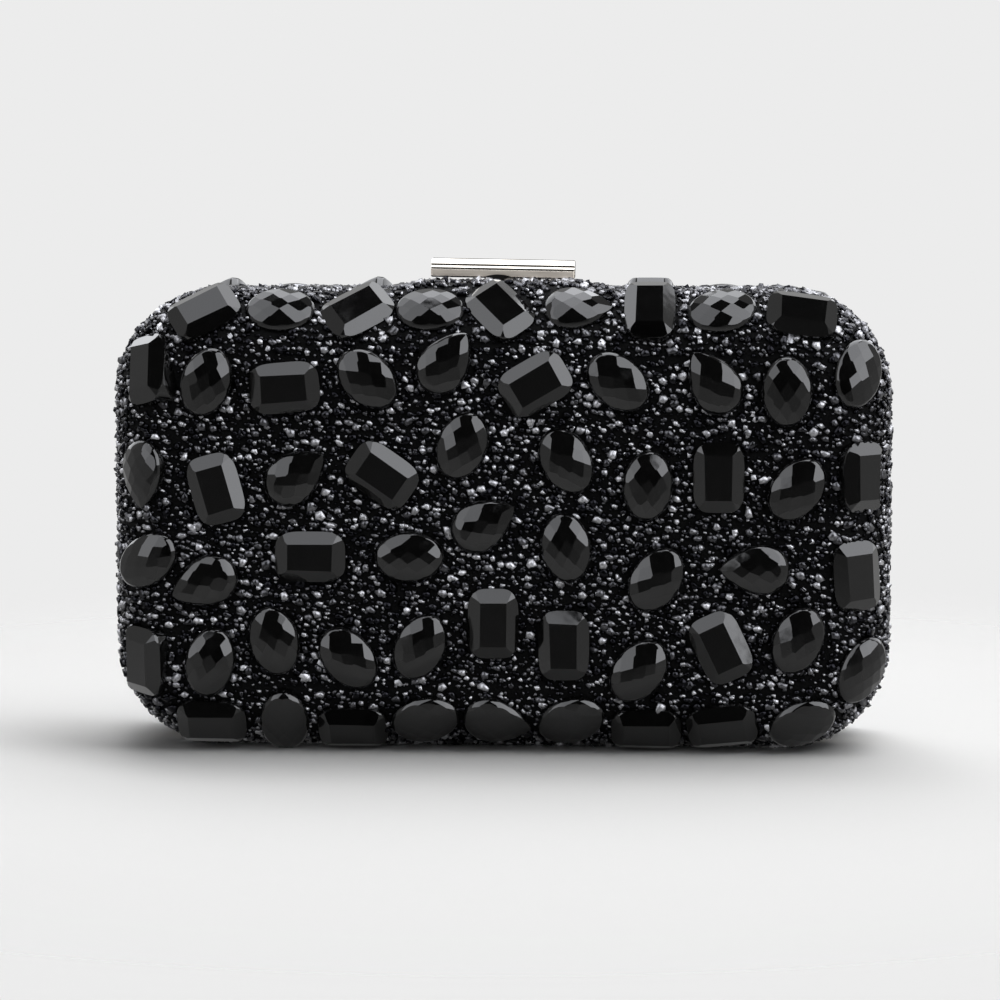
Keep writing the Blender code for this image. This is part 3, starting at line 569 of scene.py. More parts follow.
def checker_planes(shift):
    """An oval's or a pear's planes: they touch a low dome at the places of a square lattice."""
    planes = []
    for row in np.arange(-0.5, 4):
        for column in np.arange(-0.5, 4):
            if math.hypot(row - 1.5, column - 1.5) >= 2.6:
                continue
            along, across = FACET_SHARE * (row + column - 3), FACET_SHARE * (row - column)
            height = STONE_HEIGHT - DOME_DROP * (along ** 2 + across ** 2)
            planes.append(((STONE_LENGTH / 2 * (along - shift), STONE_WIDTH / 2 * across, height),
                           (4 * DOME_DROP * along / STONE_LENGTH,
                            4 * DOME_DROP * across / STONE_WIDTH, 1)))
    return planes


def facet_planes(cut, generator):
    """Points and normals of the planes that cut a dome, each slightly off its true place."""
    planes = (emerald_planes(generator) if cut == "emerald"
              else checker_planes(PEAR_SHIFT if cut == "pear" else 0.0))
    points, normals = (np.array(vectors, float) for vectors in zip(*planes))
    points[:, 2] += generator.uniform(-FACET_DOWN, FACET_UP, len(points))
    normals[:, :2] += generator.uniform(-FACET_TILT, FACET_TILT, (len(points), 2))
    return points, normals


def stone_mesh(name, cut, centre, axes, generator):
    """A stone: its dome cut by the planes of its facets, flat faces over a round rim."""
    mesh = mesh_from_rings(name, stone_blank(cut, centre, axes))
    bm = bmesh.new()
    bm.from_mesh(mesh)
    for face in bm.faces:
        face.smooth = True
    for point, normal in zip(*facet_planes(cut, generator)):
        cut_geometry = bmesh.ops.bisect_plane(
            bm, geom=bm.verts[:] + bm.edges[:] + bm.faces[:], dist=1e-7,
            plane_co=Vector(point @ axes + centre), plane_no=Vector(normal @ axes),
            clear_outer=True)["geom_cut"]
        edges = [item for item in cut_geometry
                 if isinstance(item, bmesh.types.BMEdge) and item.is_boundary]
        if edges:
            for face in bmesh.ops.contextual_create(bm, geom=edges)["faces"]:
                face.smooth = False
    bmesh.ops.remove_doubles(bm, verts=bm.verts, dist=2e-6)
    bmesh.ops.recalc_face_normals(bm, faces=bm.faces)
    for edge in bm.edges:
        flat = [face for face in edge.link_faces if not face.smooth]
        edge.smooth = not flat and edge.calc_face_angle(0.0) < RIM_SHARP
    bm.to_mesh(mesh)
    bm.free()
    return mesh


def soften_edges(item):
    """A very fine bevel on a stone's facet edges, as polishing leaves it."""
    bevel = item.modifiers.new("polished_edges", "BEVEL")
    bevel.width = 0.00012
    bevel.segments = 2
    bevel.limit_method = "ANGLE"
    bevel.angle_limit = math.radians(14)


def joined(name, meshes):
    """One mesh out of many."""
    bm = bmesh.new()
    for mesh in meshes:
        bm.from_mesh(mesh)
        bpy.data.meshes.remove(mesh)
    mesh = bpy.data.meshes.new(name)
    bm.to_mesh(mesh)
    bm.free()
    return mesh


# Crushed crystals

# Shares of the pitch: how far a crystal is moved off its lattice place, how close rows lie
# together, where the first one lies, and what is kept free at an edge
SHIFT_ALONG, SHIFT_UP, ROW_SHARE, FIRST_ROW, EDGE_SHARE = 0.34, 0.30, 0.866, 0.45, 0.3

# How far crystals reach under a stone's rim, how deep the space that a stone takes is, and
# how much more often a crystal is small than large
RIM_OVERLAP, STONE_SPACE, SMALL_BIAS = 0.0001, 0.006, 1.4

# What varies from one crystal to the next, as shares of its radius or of its corners' angle
CORNER_SHIFT, RING_SHIFT = 0.34, 0.06
CORNER_REACH, TOP_REACH, NARROWING = (0.78, 1.14), (0.78, 0.95), (0.55, 1.0)
TOP_RISE, TOP_SLOPE, GIRDLE_SHIFT, LEAN_SPREAD = (0.46, 0.66), 0.34, 0.15, 0.20
# Sizes of the rings under the top, and heights of all rings, for chunks and for chips
CHUNK_RINGS = (0.85, 1.0), (-0.75, 0.22, 0.0)
CHIP_RINGS = (1.0,), (-0.60, 0.0)


def scattered_places(pitch, side, generator):
    """Points all over one half's skin, about a pitch apart, with their outward normals.

    Rows run round the band and the shoulder, and a shifted lattice fills the face. Each point
    is then moved at random by up to a third of the pitch.
    """
    row_pitch = ROW_SHARE * pitch
    band = SIDE_FLAT - TRAY_RIM
    places, normals = [], []
    rows = np.arange(FIRST_ROW * pitch, band + SHOULDER_RADIUS * math.pi / 2, row_pitch)
    for number, reach in enumerate(rows):
        beyond = max(0.0, reach - band) / SHOULDER_RADIUS
        radius = CORNER_RADIUS - SHOULDER_RADIUS * (1 - math.cos(beyond))
        length = outline_length(radius)
        count = int(length / pitch)
        along = (np.arange(count) + 0.5 * (number % 2)
                 + generator.uniform(-SHIFT_ALONG, SHIFT_ALONG, count))
        reach = reach + generator.uniform(-SHIFT_UP, SHIFT_UP, count) * pitch
        x, z, normal_x, normal_z = outline_walk(along * length / count, radius)
        angle = np.clip(reach - band, 0.0, None) / SHOULDER_RADIUS
        radius = CORNER_RADIUS - SHOULDER_RADIUS * (1 - np.cos(angle))
        depth = np.where(angle > 0, SIDE_FLAT + SHOULDER_RADIUS * np.sin(angle),
                         np.maximum(TRAY_RIM + reach, TRAY_RIM + EDGE_SHARE * pitch))
        places.append(np.stack([x + radius * normal_x, side * depth,
                                z + radius * normal_z + BODY_HEIGHT / 2], axis=-1))
        normals.append(np.stack([normal_x * np.cos(angle), side * np.sin(angle),
                                 normal_z * np.cos(angle)], axis=-1))
    half_x, half_z = BODY_WIDTH / 2 - SHOULDER_RADIUS, BODY_HEIGHT / 2 - SHOULDER_RADIUS
    column, row = np.meshgrid(np.arange(-half_x, half_x, pitch),
                              np.arange(-half_z, half_z, row_pitch))
    column = column + 0.5 * pitch * (np.arange(row.shape[0]) % 2)[:, None]
    face = np.stack([column.ravel(), np.full(column.size, side * HALF_DEPTH),
                     row.ravel() + BODY_HEIGHT / 2], axis=-1)
    face[:, [0, 2]] += generator.uniform(-SHIFT_ALONG, SHIFT_ALONG, (len(face), 2)) * pitch
    face = face[face_distance(face) < -EDGE_SHARE * pitch]
    places.append(face)
    normals.append(np.tile([0.0, side, 0.0], (len(face), 1)))
    return np.concatenate(places), np.concatenate(normals)


def clear_of_stones(places, side, margin):
    """Which points lie outside every stone's outline by a margin in metres."""
    clear = np.ones(len(places), bool)
    for cut, centre, axes in stone_table(side):
        local = (places - centre) @ axes.T
        u = local[:, 0] / (STONE_LENGTH / 2 + margin)
        v = local[:, 1] / (STONE_WIDTH / 2 + margin)
        if cut == "pear":
            inside = (np.abs(u) < 1) & (np.abs(v) < pear_width(np.arccos(np.clip(u, -1, 1))))
        else:
            power = EMERALD_POWER if cut == "emerald" else 2
            inside = np.abs(u) ** power + np.abs(v) ** power < 1
        clear &= ~(inside & (np.abs(local[:, 2]) < STONE_SPACE))
    return clear


def unit(vectors):
    """Vectors at length 1."""
    return vectors / np.linalg.norm(vectors, axis=-1, keepdims=True)


def crystal_arrays(places, normals, radii, corners, ring_shares, generator):
    """Points and face corners of many crushed crystals at once.

    Each one is a ring grid: a sunk foot, a girdle in between if it has three rings, and a
    tilted flat top. Radii and angles vary at every corner, and the whole crystal leans a little.
    """
    count = len(places)
    shares, levels = ring_shares
    rings = len(levels)
    angle = (np.arange(corners) + generator.uniform(-CORNER_SHIFT, CORNER_SHIFT,
                                                    (count, 1, corners))
             + generator.uniform(-RING_SHIFT, RING_SHIFT, (count, rings, corners)))
    angle = angle * 2 * math.pi / corners + generator.uniform(0, 2 * math.pi, (count, 1, 1))
    reach = generator.uniform(*CORNER_REACH, (count, 1, corners))
    top = generator.uniform(*TOP_REACH, (count, 1, 1))
    scale = np.concatenate([np.tile(np.array(shares)[:, None], (count, 1, 1)), top], 1)
    x = reach * scale * np.cos(angle)
    y = reach * scale * np.sin(angle) * generator.uniform(*NARROWING, (count, 1, 1))
    slope = generator.uniform(-TOP_SLOPE, TOP_SLOPE, (2, count, 1))
    height = np.broadcast_to(np.array(levels)[:, None], x.shape).copy()
    rise = generator.uniform(*TOP_RISE, (count, 1))
    height[:, -1] = rise + slope[0] * x[:, -1] + slope[1] * y[:, -1]
    if rings == 3:
        height[:, 1] += generator.uniform(-GIRDLE_SHIFT, GIRDLE_SHIFT, (count, corners))
    local = np.stack([x, y, height], axis=-1) * radii[:, None, None, None]
    # Axes on the skin, from any direction that no normal has, and then leant over
    first = unit(np.cross(normals, np.array([0.31, 0.22, 0.93])))
    lean = generator.normal(0.0, LEAN_SPREAD, (count, 2))
    axis = unit(normals + lean[:, :1] * first + lean[:, 1:] * np.cross(normals, first))
    first = unit(first - (first * axis).sum(1)[:, None] * axis)
    basis = np.stack([first, np.cross(axis, first), axis], axis=1)
    points = np.einsum("nrci,nij->nrcj", local, basis) + places[:, None, None, :]
    quads = grid_quads(rings, corners)
    crown = (rings - 1) * corners + np.arange(corners)
    loops = np.concatenate([quads.ravel(), np.arange(corners)[::-1], crown])
    sizes = np.concatenate([np.full(len(quads), 4), [corners, corners]])
    step = rings * corners
    all_loops = (loops[None] + (np.arange(count) * step)[:, None]).ravel()
    return points.reshape(-1, 3), all_loops, np.tile(sizes, count), step


def kept_in_bounds(points, side):
    """Points held above the floor and off the seam."""
    points = points.copy()
    points[:, 2] = np.maximum(points[:, 2], FLOOR_CLEARANCE)
    points[:, 1] = side * np.maximum(side * points[:, 1], TRAY_RIM)
    return points


def add_crystals(word, side, layer, material, generator):
    """One layer of crystals on one half, in a left and a right piece."""
    name, pitch, small, large, lift, corners, ring_shares = layer
    places, normals = scattered_places(pitch, side, generator)
    keep = clear_of_stones(places, side, -RIM_OVERLAP)
    places, normals = places[keep], normals[keep]
    radii = pitch / 2 * (
        small + (large - small) * generator.uniform(0, 1, len(places)) ** SMALL_BIAS)
    places = heaped(places) + normals * lift
    shade = generator.uniform(0, 1, len(places))
    for hand, chosen in (("left", places[:, 0] < 0), ("right", places[:, 0] >= 0)):
        points, loops, sizes, step = crystal_arrays(
            places[chosen], normals[chosen], radii[chosen], corners, ring_shares, generator)
        mesh = mesh_from_arrays(f"{word}_{name}_crystals_{hand}",
                                kept_in_bounds(points, side), loops, sizes)
        values = np.repeat(shade[chosen], step).astype(np.float32)
        mesh.attributes.new("shade", "FLOAT", "POINT").data.foreach_set("value", values)
        if side == 1:
            mesh.flip_normals()
        item = add_piece(mesh, material, f"{word}_half")
        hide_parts(f"{word}_crystal_cover")


# Bar and lever

def bar_rings():
    """The clasp bar: a profile in Y and Z carried along X, drawn in at both ends.

    From the bottom up, half the profile is a soft lower edge, a face, a fine groove, a narrow
    slope, an upright step, a wide slope and the flat top. At the ends the profile shrinks by
    radius * (1 - cos) while X moves by radius * sin.
    """
    half, soft = BAR_DEPTH / 2, 0.0004
    bend = np.linspace(0, math.pi / 2, 9)
    # How far in from the widest place, and how high, the profile's points lie
    inward = [0.00012, 0.00002, 0.00010, 0.00010, 0.00002, 0.00050, 0.00050, 0.00056, 0.00186,
              0.00196]
    up = [0.00040, 0.00205, 0.00213, 0.00256, 0.00262, 0.00302, 0.00356, 0.00361, 0.00462,
          0.00470]
    half_y = np.concatenate([half - inward[0] - soft * (1 - np.sin(bend[:-1])),
                             half - np.array(inward)])
    half_z = np.concatenate([soft - soft * np.cos(bend[:-1]), up])
    y = np.concatenate([half_y, -half_y[::-1]])
    z = BAR_BOTTOM + np.concatenate([half_z, half_z[::-1]])
    x = BAR_LENGTH / 2 - soft + soft * np.sin(bend[::-1])
    inset = soft * (1 - np.cos(bend[::-1]))
    middle = np.linspace(-BAR_LENGTH / 2 + soft, BAR_LENGTH / 2 - soft, 13)[1:-1]
    x = np.concatenate([-x, middle, x[::-1]])
    inset = np.concatenate([inset, np.zeros(len(middle)), inset[::-1]])[:, None]
    middle_z = BAR_BOTTOM + BAR_HEIGHT / 2
    return np.stack([np.broadcast_to(x[:, None], (len(x), len(y))),
                     y * (1 - inset / half),
                     middle_z + (z - middle_z) * (1 - 2 * inset / BAR_HEIGHT)], axis=-1)


def rolled(points, degrees, centre):
    """Points turned about an axis along Y through a centre, right end down."""
    turn = math.radians(degrees)
    x, z = points[..., 0] - centre[0], points[..., 2] - centre[2]
    return np.stack([centre[0] + x * math.cos(turn) + z * math.sin(turn), points[..., 1],
                     centre[2] - x * math.sin(turn) + z * math.cos(turn)], axis=-1)


def lever_outline():
    """Outline of the lever's plate in Y and Z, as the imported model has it."""
    seat = BAR_BOTTOM - 0.0003
    seat_underside = seat - 0.0010
    frame_underside = BODY_HEIGHT - 0.0063
    arm_top = frame_underside - 0.0024
    arm_bottom = arm_top - 0.0014
    tail_bottom = arm_top - 0.0028
    tail_back = 0.0090
    neck_front = -0.0019
    tab_back = -BAR_DEPTH / 2 - 0.0003
    tab_front = tab_back - 0.0008
    tab_top = BAR_BOTTOM + 0.0010
    barb = -0.0050
    barb_tip = barb - 0.0014
    return np.array([
        (tab_front, seat_underside), (neck_front, seat_underside), (neck_front, arm_top),
        (barb_tip, arm_top), (barb_tip, arm_bottom), (barb, arm_bottom - 0.0014),
        (barb, arm_bottom), (0.0012, arm_bottom), (0.0026, tail_bottom),
        (tail_back, tail_bottom), (tail_back, arm_top), (0.0, arm_top), (0.0, seat_underside),
        (BAR_DEPTH / 2, seat_underside), (BAR_DEPTH / 2, seat), (tab_back, seat),
        (tab_back, tab_top), (tab_front, tab_top),
    ])


def lever_rings():
    """The lever's plate carried across the bag, its tab arched and leaning to the left.

    The tab's top falls away from its middle by rise * (1 - sqrt(1 - (x / reach) ** 2)).
    """
    half_width, arch_rise, arch_reach, tab_lean = 0.0036, 0.0011, 0.0038, 0.0012
    outline = lever_outline()
    across = half_width * np.sin(np.linspace(-math.pi / 2, math.pi / 2, 15))[:, None]
    rings = np.stack(np.broadcast_arrays(across, *outline.T), axis=-1)
    arch = arch_rise * (1 - np.sqrt(np.clip(1 - (across / arch_reach) ** 2, 0, 1)))
    rings[:, -2:, 2] -= arch
    rings[:, -2:, 0] -= tab_lean
    return rings


def spring_rings(low, high, wire=0.0002, turns=5, count=150, around=10):
    """The clasp's spring in its box: a round wire carried along a helix.

    After a turn t the wire's middle is the coil's radius times cosine and sine of 2 pi t away
    from the axis, and it climbs evenly from the bottom to the top.
    """
    turn = 2 * math.pi * turns * np.linspace(0, 1, count)[:, None]
    bend = np.linspace(0, 2 * math.pi, around, endpoint=False)
    radius = (high[0] - low[0]) / 2 - wire + wire * np.cos(bend)
    climb = low[2] + wire + (high[2] - low[2] - 2 * wire) * np.linspace(0, 1, count)[:, None]
    return np.stack([(low[0] + high[0]) / 2 + radius * np.cos(turn),
                     (low[1] + high[1]) / 2 + radius * np.sin(turn),
                     climb + wire * np.sin(bend)], axis=-1)


# Sizes and colours that a user would change

def colour_setting(name, description, code):
    """A colour that starts from an sRGB hex code."""
    return FloatVectorProperty(name=name, description=description, default=linear(code),
                               subtype="COLOR", min=0, max=1)


def length_setting(name, description, default, low, high):
    """A length between two limits."""
    return FloatProperty(name=name, description=description, default=default, min=low,
                         max=high, unit="LENGTH", precision=5)


class ClutchSettings(bpy.types.PropertyGroup):
    """Sizes and colours of the clutch's finishes."""

    seed: IntProperty(name="Seed", description="Start of every random choice", default=7)
    coarse_pitch: length_setting(
        "Coarse pitch", "Distance between the coarse crystals", 0.00285, 0.001, 0.005)
    fine_pitch: length_setting(
        "Fine pitch", "Distance between the fine crystals", 0.00175, 0.0008, 0.005)
    crystal_dark: colour_setting(
        "Dark crystal", "Colour of the darkest crystals", "#1C1C1F")
    crystal_middle: colour_setting(
        "Middle crystal", "Colour of the middling crystals", "#606063")
    crystal_light: colour_setting(
        "Light crystal", "Colour of the brightest crystals", "#C4C4C7")
    stone_colour: colour_setting("Cut stone", "Colour of the black glass", "#0A0A0A")
    lining_colour: colour_setting("Lining", "Colour of the satin", "#28282B")
    bar_colour: colour_setting("Bar", "Colour of the polished nickel bar", "#D8D2C8")
    bar_face_colour: colour_setting(
        "Bar face", "Colour of the bar's brushed faces", "#E2D9CC")
    lever_colour: colour_setting("Lever", "Colour of the dark nickel lever", "#3A3937")
    frame_colour: colour_setting(
        "Frame", "Colour of the nickel plated steel frames and fittings", "#C6C1B8")
    bar_roll: FloatProperty(
        name="Bar roll", description="How far the bar's right end hangs down, in degrees",
        default=1.0, min=-3, max=3)
    lining_puff: length_setting(
        "Lining puff", "How far the wadding lifts the satin", 0.0009, 0.0, 0.003)
    background: colour_setting(
        "Background", "Colour of the floor and of what is behind", "#ECECEC")


def settings():
    """The scene's settings."""
    return bpy.context.scene.clutch


class CLUTCH_OT_skins(bpy.types.Operator):
    """Resin skins that carry the crystals, one closed shell for each half."""

    bl_idname = "clutch.skins"
    bl_label = "Resin skins"

    def execute(self, context):
        material = resin_material()
        for word, side in HALVES:
            outer = profile(0.0, TRAY_RIM)
            inner = profile(COVER_WALL, TRAY_RIM)
            insets = np.concatenate([outer[0][::-1], inner[0]])
            depths = np.concatenate([outer[1][::-1], inner[1]])
            rings = rings_at(insets, depths, side)
            rings[:len(outer[0])] = heaped(rings[:len(outer[0])])
            mesh = mesh_from_rings(f"{word}_resin_skin", rings)
            item = add_piece(mesh, material, f"{word}_half", sharp=40)
            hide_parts(f"{word}_crystal_cover")
        return {"FINISHED"}


class CLUTCH_OT_crystals(bpy.types.Operator):
    """Crushed crystals over both halves, in a coarse and a fine layer."""

    bl_idname = "clutch.crystals"
    bl_label = "Crushed crystals"

    def execute(self, context):
        sizes = settings()
        material = crushed_crystal_material(sizes)
        # Name, pitch, smallest and largest radius as shares of half the pitch,
        # lift off the skin, corners, rings
        layers = (
            ("coarse", sizes.coarse_pitch, 0.60, 1.14, 0.00000, 5, CHUNK_RINGS),
            ("fine", sizes.fine_pitch, 0.48, 1.12, 0.00012, 4, CHIP_RINGS),
        )
        generator = np.random.default_rng(sizes.seed)
        for word, side in HALVES:
            for layer in layers:
                add_crystals(word, side, layer, material, generator)
        return {"FINISHED"}


class CLUTCH_OT_stones(bpy.types.Operator):
    """Cut stones: one piece for each stone of the flat front, one for each other group."""

    bl_idname = "clutch.stones"
    bl_label = "Cut stones"

    def execute(self, context):
        sizes = settings()
        material = cut_stone_material(sizes)
        generator = np.random.default_rng(sizes.seed + 1)
        for word, side in HALVES:
            meshes = [stone_mesh(f"{word}_cut_stone_{number:02d}", *row, generator)
                      for number, row in enumerate(stone_table(side), start=1)]
            singles = meshes[:len(FACE_STONES)] if word == "front" else []
            for number, mesh in enumerate(singles, start=1):
                item = add_piece(mesh, material, "front_half")
                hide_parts(f"front_stone_{number:02d}")
                soften_edges(item)
            group = "shoulder" if word == "front" else "cut"
            mesh = joined(f"{word}_{group}_stones", meshes[len(singles):])
            item = add_piece(mesh, material, f"{word}_half")
            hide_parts(f"{word}_crystal_cover")
            soften_edges(item)
        return {"FINISHED"}


class CLUTCH_OT_clasp(bpy.types.Operator):
    """Polished bar with soft edges, the dark lever under it, and the clasp's small fittings."""

    bl_idname = "clutch.clasp"
    bl_label = "Clasp"

    def execute(self, context):
        sizes = settings()
        centre = (0.0, 0.0, BAR_BOTTOM + BAR_HEIGHT / 2)
        rings = rolled(bar_rings(), sizes.bar_roll, centre)
        # Nickel plate polished on a soft wheel: a clear warm mirror with faint lines
        nickel = metal_material("polished_nickel", sizes.bar_colour, (0.05, 0.12),
                                (0.08, 1.0, 1.0), 0.0004, 0.000002)
        bar = add_piece(mesh_from_rings("polished_clasp_bar", rings), nickel, "clasp",
                        sharp=30)
        # Its front and back faces are brushed along the bar: a soft even grey
        bar.data.materials.append(metal_material(
            "brushed_nickel", sizes.bar_face_colour, (0.48, 0.60), (0.05, 1.0, 1.0), 0.0003,
            0.000004))
        # The faces' columns of quads lie as far from the profile's start as from its end
        columns, face_column = rings.shape[1], 8
        brushed = np.isin(np.arange(len(bar.data.polygons)) % columns,
                          (face_column, columns - face_column - 2))
        brushed[-2:] = False
        bar.data.polygons.foreach_set("material_index", brushed.astype(np.int32))
        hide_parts("clasp_bar")
        # Black nickel plate, left as tumbled: a dull dark metal
        dark = metal_material("black_nickel", sizes.lever_colour, (0.25, 0.40),
                              (1.0, 1.0, 1.0), 0.0008, 0.00001)
        lever = add_piece(mesh_from_rings("arched_clasp_lever", lever_rings()), dark, "clasp",
                          sharp=30)
        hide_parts("clasp_lever")
        # Nickel plated steel, stamped and barrel polished: satin grey with short rub marks
        steel = metal_material("nickel_plated_steel", sizes.frame_colour, (0.26, 0.33),
                               (0.25, 1.0, 1.0), 0.0009, 0.0000015)
        # Drawn spring wire, bare and a little darker
        spring = metal_material("spring_steel", linear("#8E8C88"), (0.22, 0.34),
                                (1.0, 1.0, 1.0), 0.0003, 0.000004)
        # The lever's tail presses the spring together as the clasp opens
        low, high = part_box("clasp_spring")
        coil = add_piece(mesh_from_rings("clasp_coil", spring_rings(low, high)), spring,
                         "back_half", sharp=50)
        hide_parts("clasp_spring")
        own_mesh(coil)
        fittings = ("hinge", "rivet", "frame", "clasp_bracket", "clasp_keeper", "clasp_pin")
        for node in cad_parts:
            if any(word in node for word in fittings):
                dress(node, steel)
        return {"FINISHED"}


class CLUTCH_OT_shells(bpy.types.Operator):
    """Moulded plastic shells between the resin and the lining."""

    bl_idname = "clutch.shells"
    bl_label = "Shells"

    def execute(self, context):
        plastic = moulded_plastic_material()
        for word, _ in HALVES:
            dress(f"{word}_shell", plastic)
        return {"FINISHED"}


class CLUTCH_OT_linings(bpy.types.Operator):
    """Satin linings over thin wadding, with a seam between the band and the face panel."""

    bl_idname = "clutch.linings"
    bl_label = "Linings"

    def execute(self, context):
        sizes = settings()
        satin = satin_material(sizes)
        generator = np.random.default_rng(sizes.seed + 2)
        for word, side in HALVES:
            rings = lining_rings(side, sizes.lining_puff, generator)
            mesh = mesh_from_rings(f"{word}_satin_lining", rings)
            item = add_piece(mesh, satin, f"{word}_half", sharp=60)
            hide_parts(f"{word}_lining")
        return {"FINISHED"}


def lining_rings(side, puff, generator):
    """Rings of a padded lining: its back on the shell, then its satin face from rim to middle.

    The satin stands off its card by the puff times a bulge that dies away at the rim and at the
    seam on the shoulder, and small waves run into the seam.
    """
    bulge_start, crease_height, crease_reach, crease_start = 0.006, 0.0008, 0.011, 0.0015
    band_puff, rim_share = 0.6 * puff, 0.12
    shoulder = SHOULDER_RADIUS - LINING_INSET - LINING_WALL
    outer_inset, outer_depth = profile(LINING_INSET, TRAY_RIM, 6)
    inner_inset, inner_depth = profile(LINING_INSET + LINING_WALL, TRAY_RIM, 16)
    walk = x, z, normal_x, normal_z = even_walk(24, 64, 34)
    back = rings_at(outer_inset[::-1], outer_depth[::-1], side, walk)
    face = rings_at(inner_inset, inner_depth, side, walk)
    # The flat panel: first inward to the outline's rectangle, then on to the middle
    steps = np.linspace(SHOULDER_RADIUS, CORNER_RADIUS, 9)[1:]
    depth = HALF_DEPTH - LINING_INSET - LINING_WALL
    closing = rings_at(steps, np.full(len(steps), depth), side, walk)
    shares = np.linspace(1.0, 0.0, 15)[1:-1, None] ** 0.9
    middle = np.stack([x * shares, np.full((len(shares), len(x)), side * depth),
                       z * shares + BODY_HEIGHT / 2], axis=-1)
    panel = np.concatenate([closing, middle])
    reach = np.linalg.norm(panel - face[-1], axis=-1)
    bulge = 1 - np.exp(-(reach / bulge_start) ** 1.2)
    angle = np.linspace(0, 2 * math.pi, len(x), endpoint=False)
    waves = sum(np.sin(angle * count + phase) / 3 for count, phase in
                zip((17, 29, 41), generator.uniform(0, 2 * math.pi, 3)))
    crease = np.exp(-reach / crease_reach) * (1 - np.exp(-reach / crease_start))
    panel[..., 1] -= side * (puff * bulge + crease_height * waves * crease)
    # The band and the shoulder puff up less, and not at all next to the rim
    row = np.linspace(0, 1, len(face))
    lift = np.sin(math.pi * np.clip((row - rim_share) / (1 - rim_share), 0, 1)) ** 0.7
    swell = (band_puff * lift)[:, None] * (1 + 0.6 * waves)
    inward = swell * ((SHOULDER_RADIUS - inner_inset) / shoulder)[:, None]
    face[..., 0] -= inward * normal_x
    face[..., 2] -= inward * normal_z
    face[..., 1] -= side * swell * ((inner_depth - SIDE_FLAT).clip(0) / shoulder)[:, None]
    return np.concatenate([back, face, panel])


class CLUTCH_OT_stage(bpy.types.Operator):
    """Pale floor, plain background, soft lights and the camera."""

    bl_idname = "clutch.stage"
    bl_label = "Stage"

    def execute(self, context):
        sizes = settings()
        add_floor(sizes)
        add_world(sizes)
        # Two lights for the floor and the cloth, nearly overhead and a little behind: name,
        # place, width, height and radiance
        for row in (("key_softbox", (0.40, 0.50, 2.85), 2.40, 0.30, 11.7),
                    ("top_softbox", (0.70, 0.80, 2.74), 6.00, 2.20, 2.45)):
            add_light(*row, linear("#FFFFFF")).visible_glossy = False
        # The others are only for the stones, crystals and metal to mirror
        for row in (("left_softbox", (-1.60, -1.55, 2.01), 2.20, 4.00, 2.5),
                    ("right_softbox", (1.91, -1.49, 1.76), 2.80, 3.40, 4.4),
                    ("rear_softbox", (0.05, 0.60, 2.73), 1.60, 2.30, 4.6),
                    ("back_left_softbox", (-1.70, 1.60, 1.80), 2.0, 2.6, 2.6),
                    ("back_right_softbox", (1.70, 1.60, 1.80), 2.0, 2.6, 2.6)):
            add_light(*row, linear("#F5F7FC")).visible_diffuse = False
        add_camera()
        return {"FINISHED"}


def add_light(name, place, width, height, radiance, colour):
    """A rectangular soft light that looks at the bag, as bright as a radiance."""
    lamp = bpy.data.lights.new(name, "AREA")
    lamp.shape = "RECTANGLE"
    lamp.size = width
    lamp.size_y = height
    lamp.energy = radiance * math.pi * width * height
    lamp.color = colour
    item = add_object(name, lamp)
    item.location = place
    aim = Vector((0.0, 0.0, 0.06)) - Vector(place)
    item.rotation_euler = aim.to_track_quat("-Z", "Y").to_euler()
    return item


def add_floor(sizes):
    """A round paper floor that fades into the background far from the bag."""
    radius, corners = 1.6, 96
    angle = np.linspace(0, 2 * math.pi, corners, endpoint=False)
    points = np.stack([radius * np.cos(angle), radius * np.sin(angle), np.zeros(corners)], axis=-1)
    mesh = mesh_from_arrays("floor", points, np.arange(corners), np.array([corners]))
    item = add_object("floor", mesh)
    material, tree, shader, place = start_material("matte_background_paper")
    set_sockets(tree, shader, {
        "Base Color": (*scaled(sizes.background, 0.98), 1.0), "Roughness": 0.9,
        "Specular IOR Level": 0.0})
    far = add_node(tree, "ShaderNodeVectorMath", {0: place}, operation="LENGTH").outputs["Value"]
    # In reflections it fades nearer to the bag, so that the stones stay black at a steeper look
    glossy = add_node(tree, "ShaderNodeLightPath").outputs["Is Glossy Ray"]
    reach = math_result(tree, "MULTIPLY_ADD", glossy, 0.12, far)
    fade = ranged(tree, reach, 0.11, 0.34, 0.0, 1.0, interpolation_type="SMOOTHSTEP")
    clear = add_node(tree, "ShaderNodeBsdfTransparent")
    mix = add_node(tree, "ShaderNodeMixShader", {
        0: fade, 1: shader.outputs["BSDF"], 2: clear.outputs["BSDF"]})
    tree.links.new(mix.outputs["Shader"], tree.nodes["Material Output"].inputs["Surface"])
    mesh.materials.append(material)
    # The lowest front corner of the lid takes the floor down with it when the lid opens
    corner = add_object("lid_lowest_corner", None)
    corner.location = (0.0, -HALF_DEPTH - FACE_LIFT - STONE_HEIGHT, -0.0001)
    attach(corner, "front_half")
    follow = item.constraints.new("COPY_LOCATION")
    follow.target = corner
    follow.use_x = follow.use_y = False


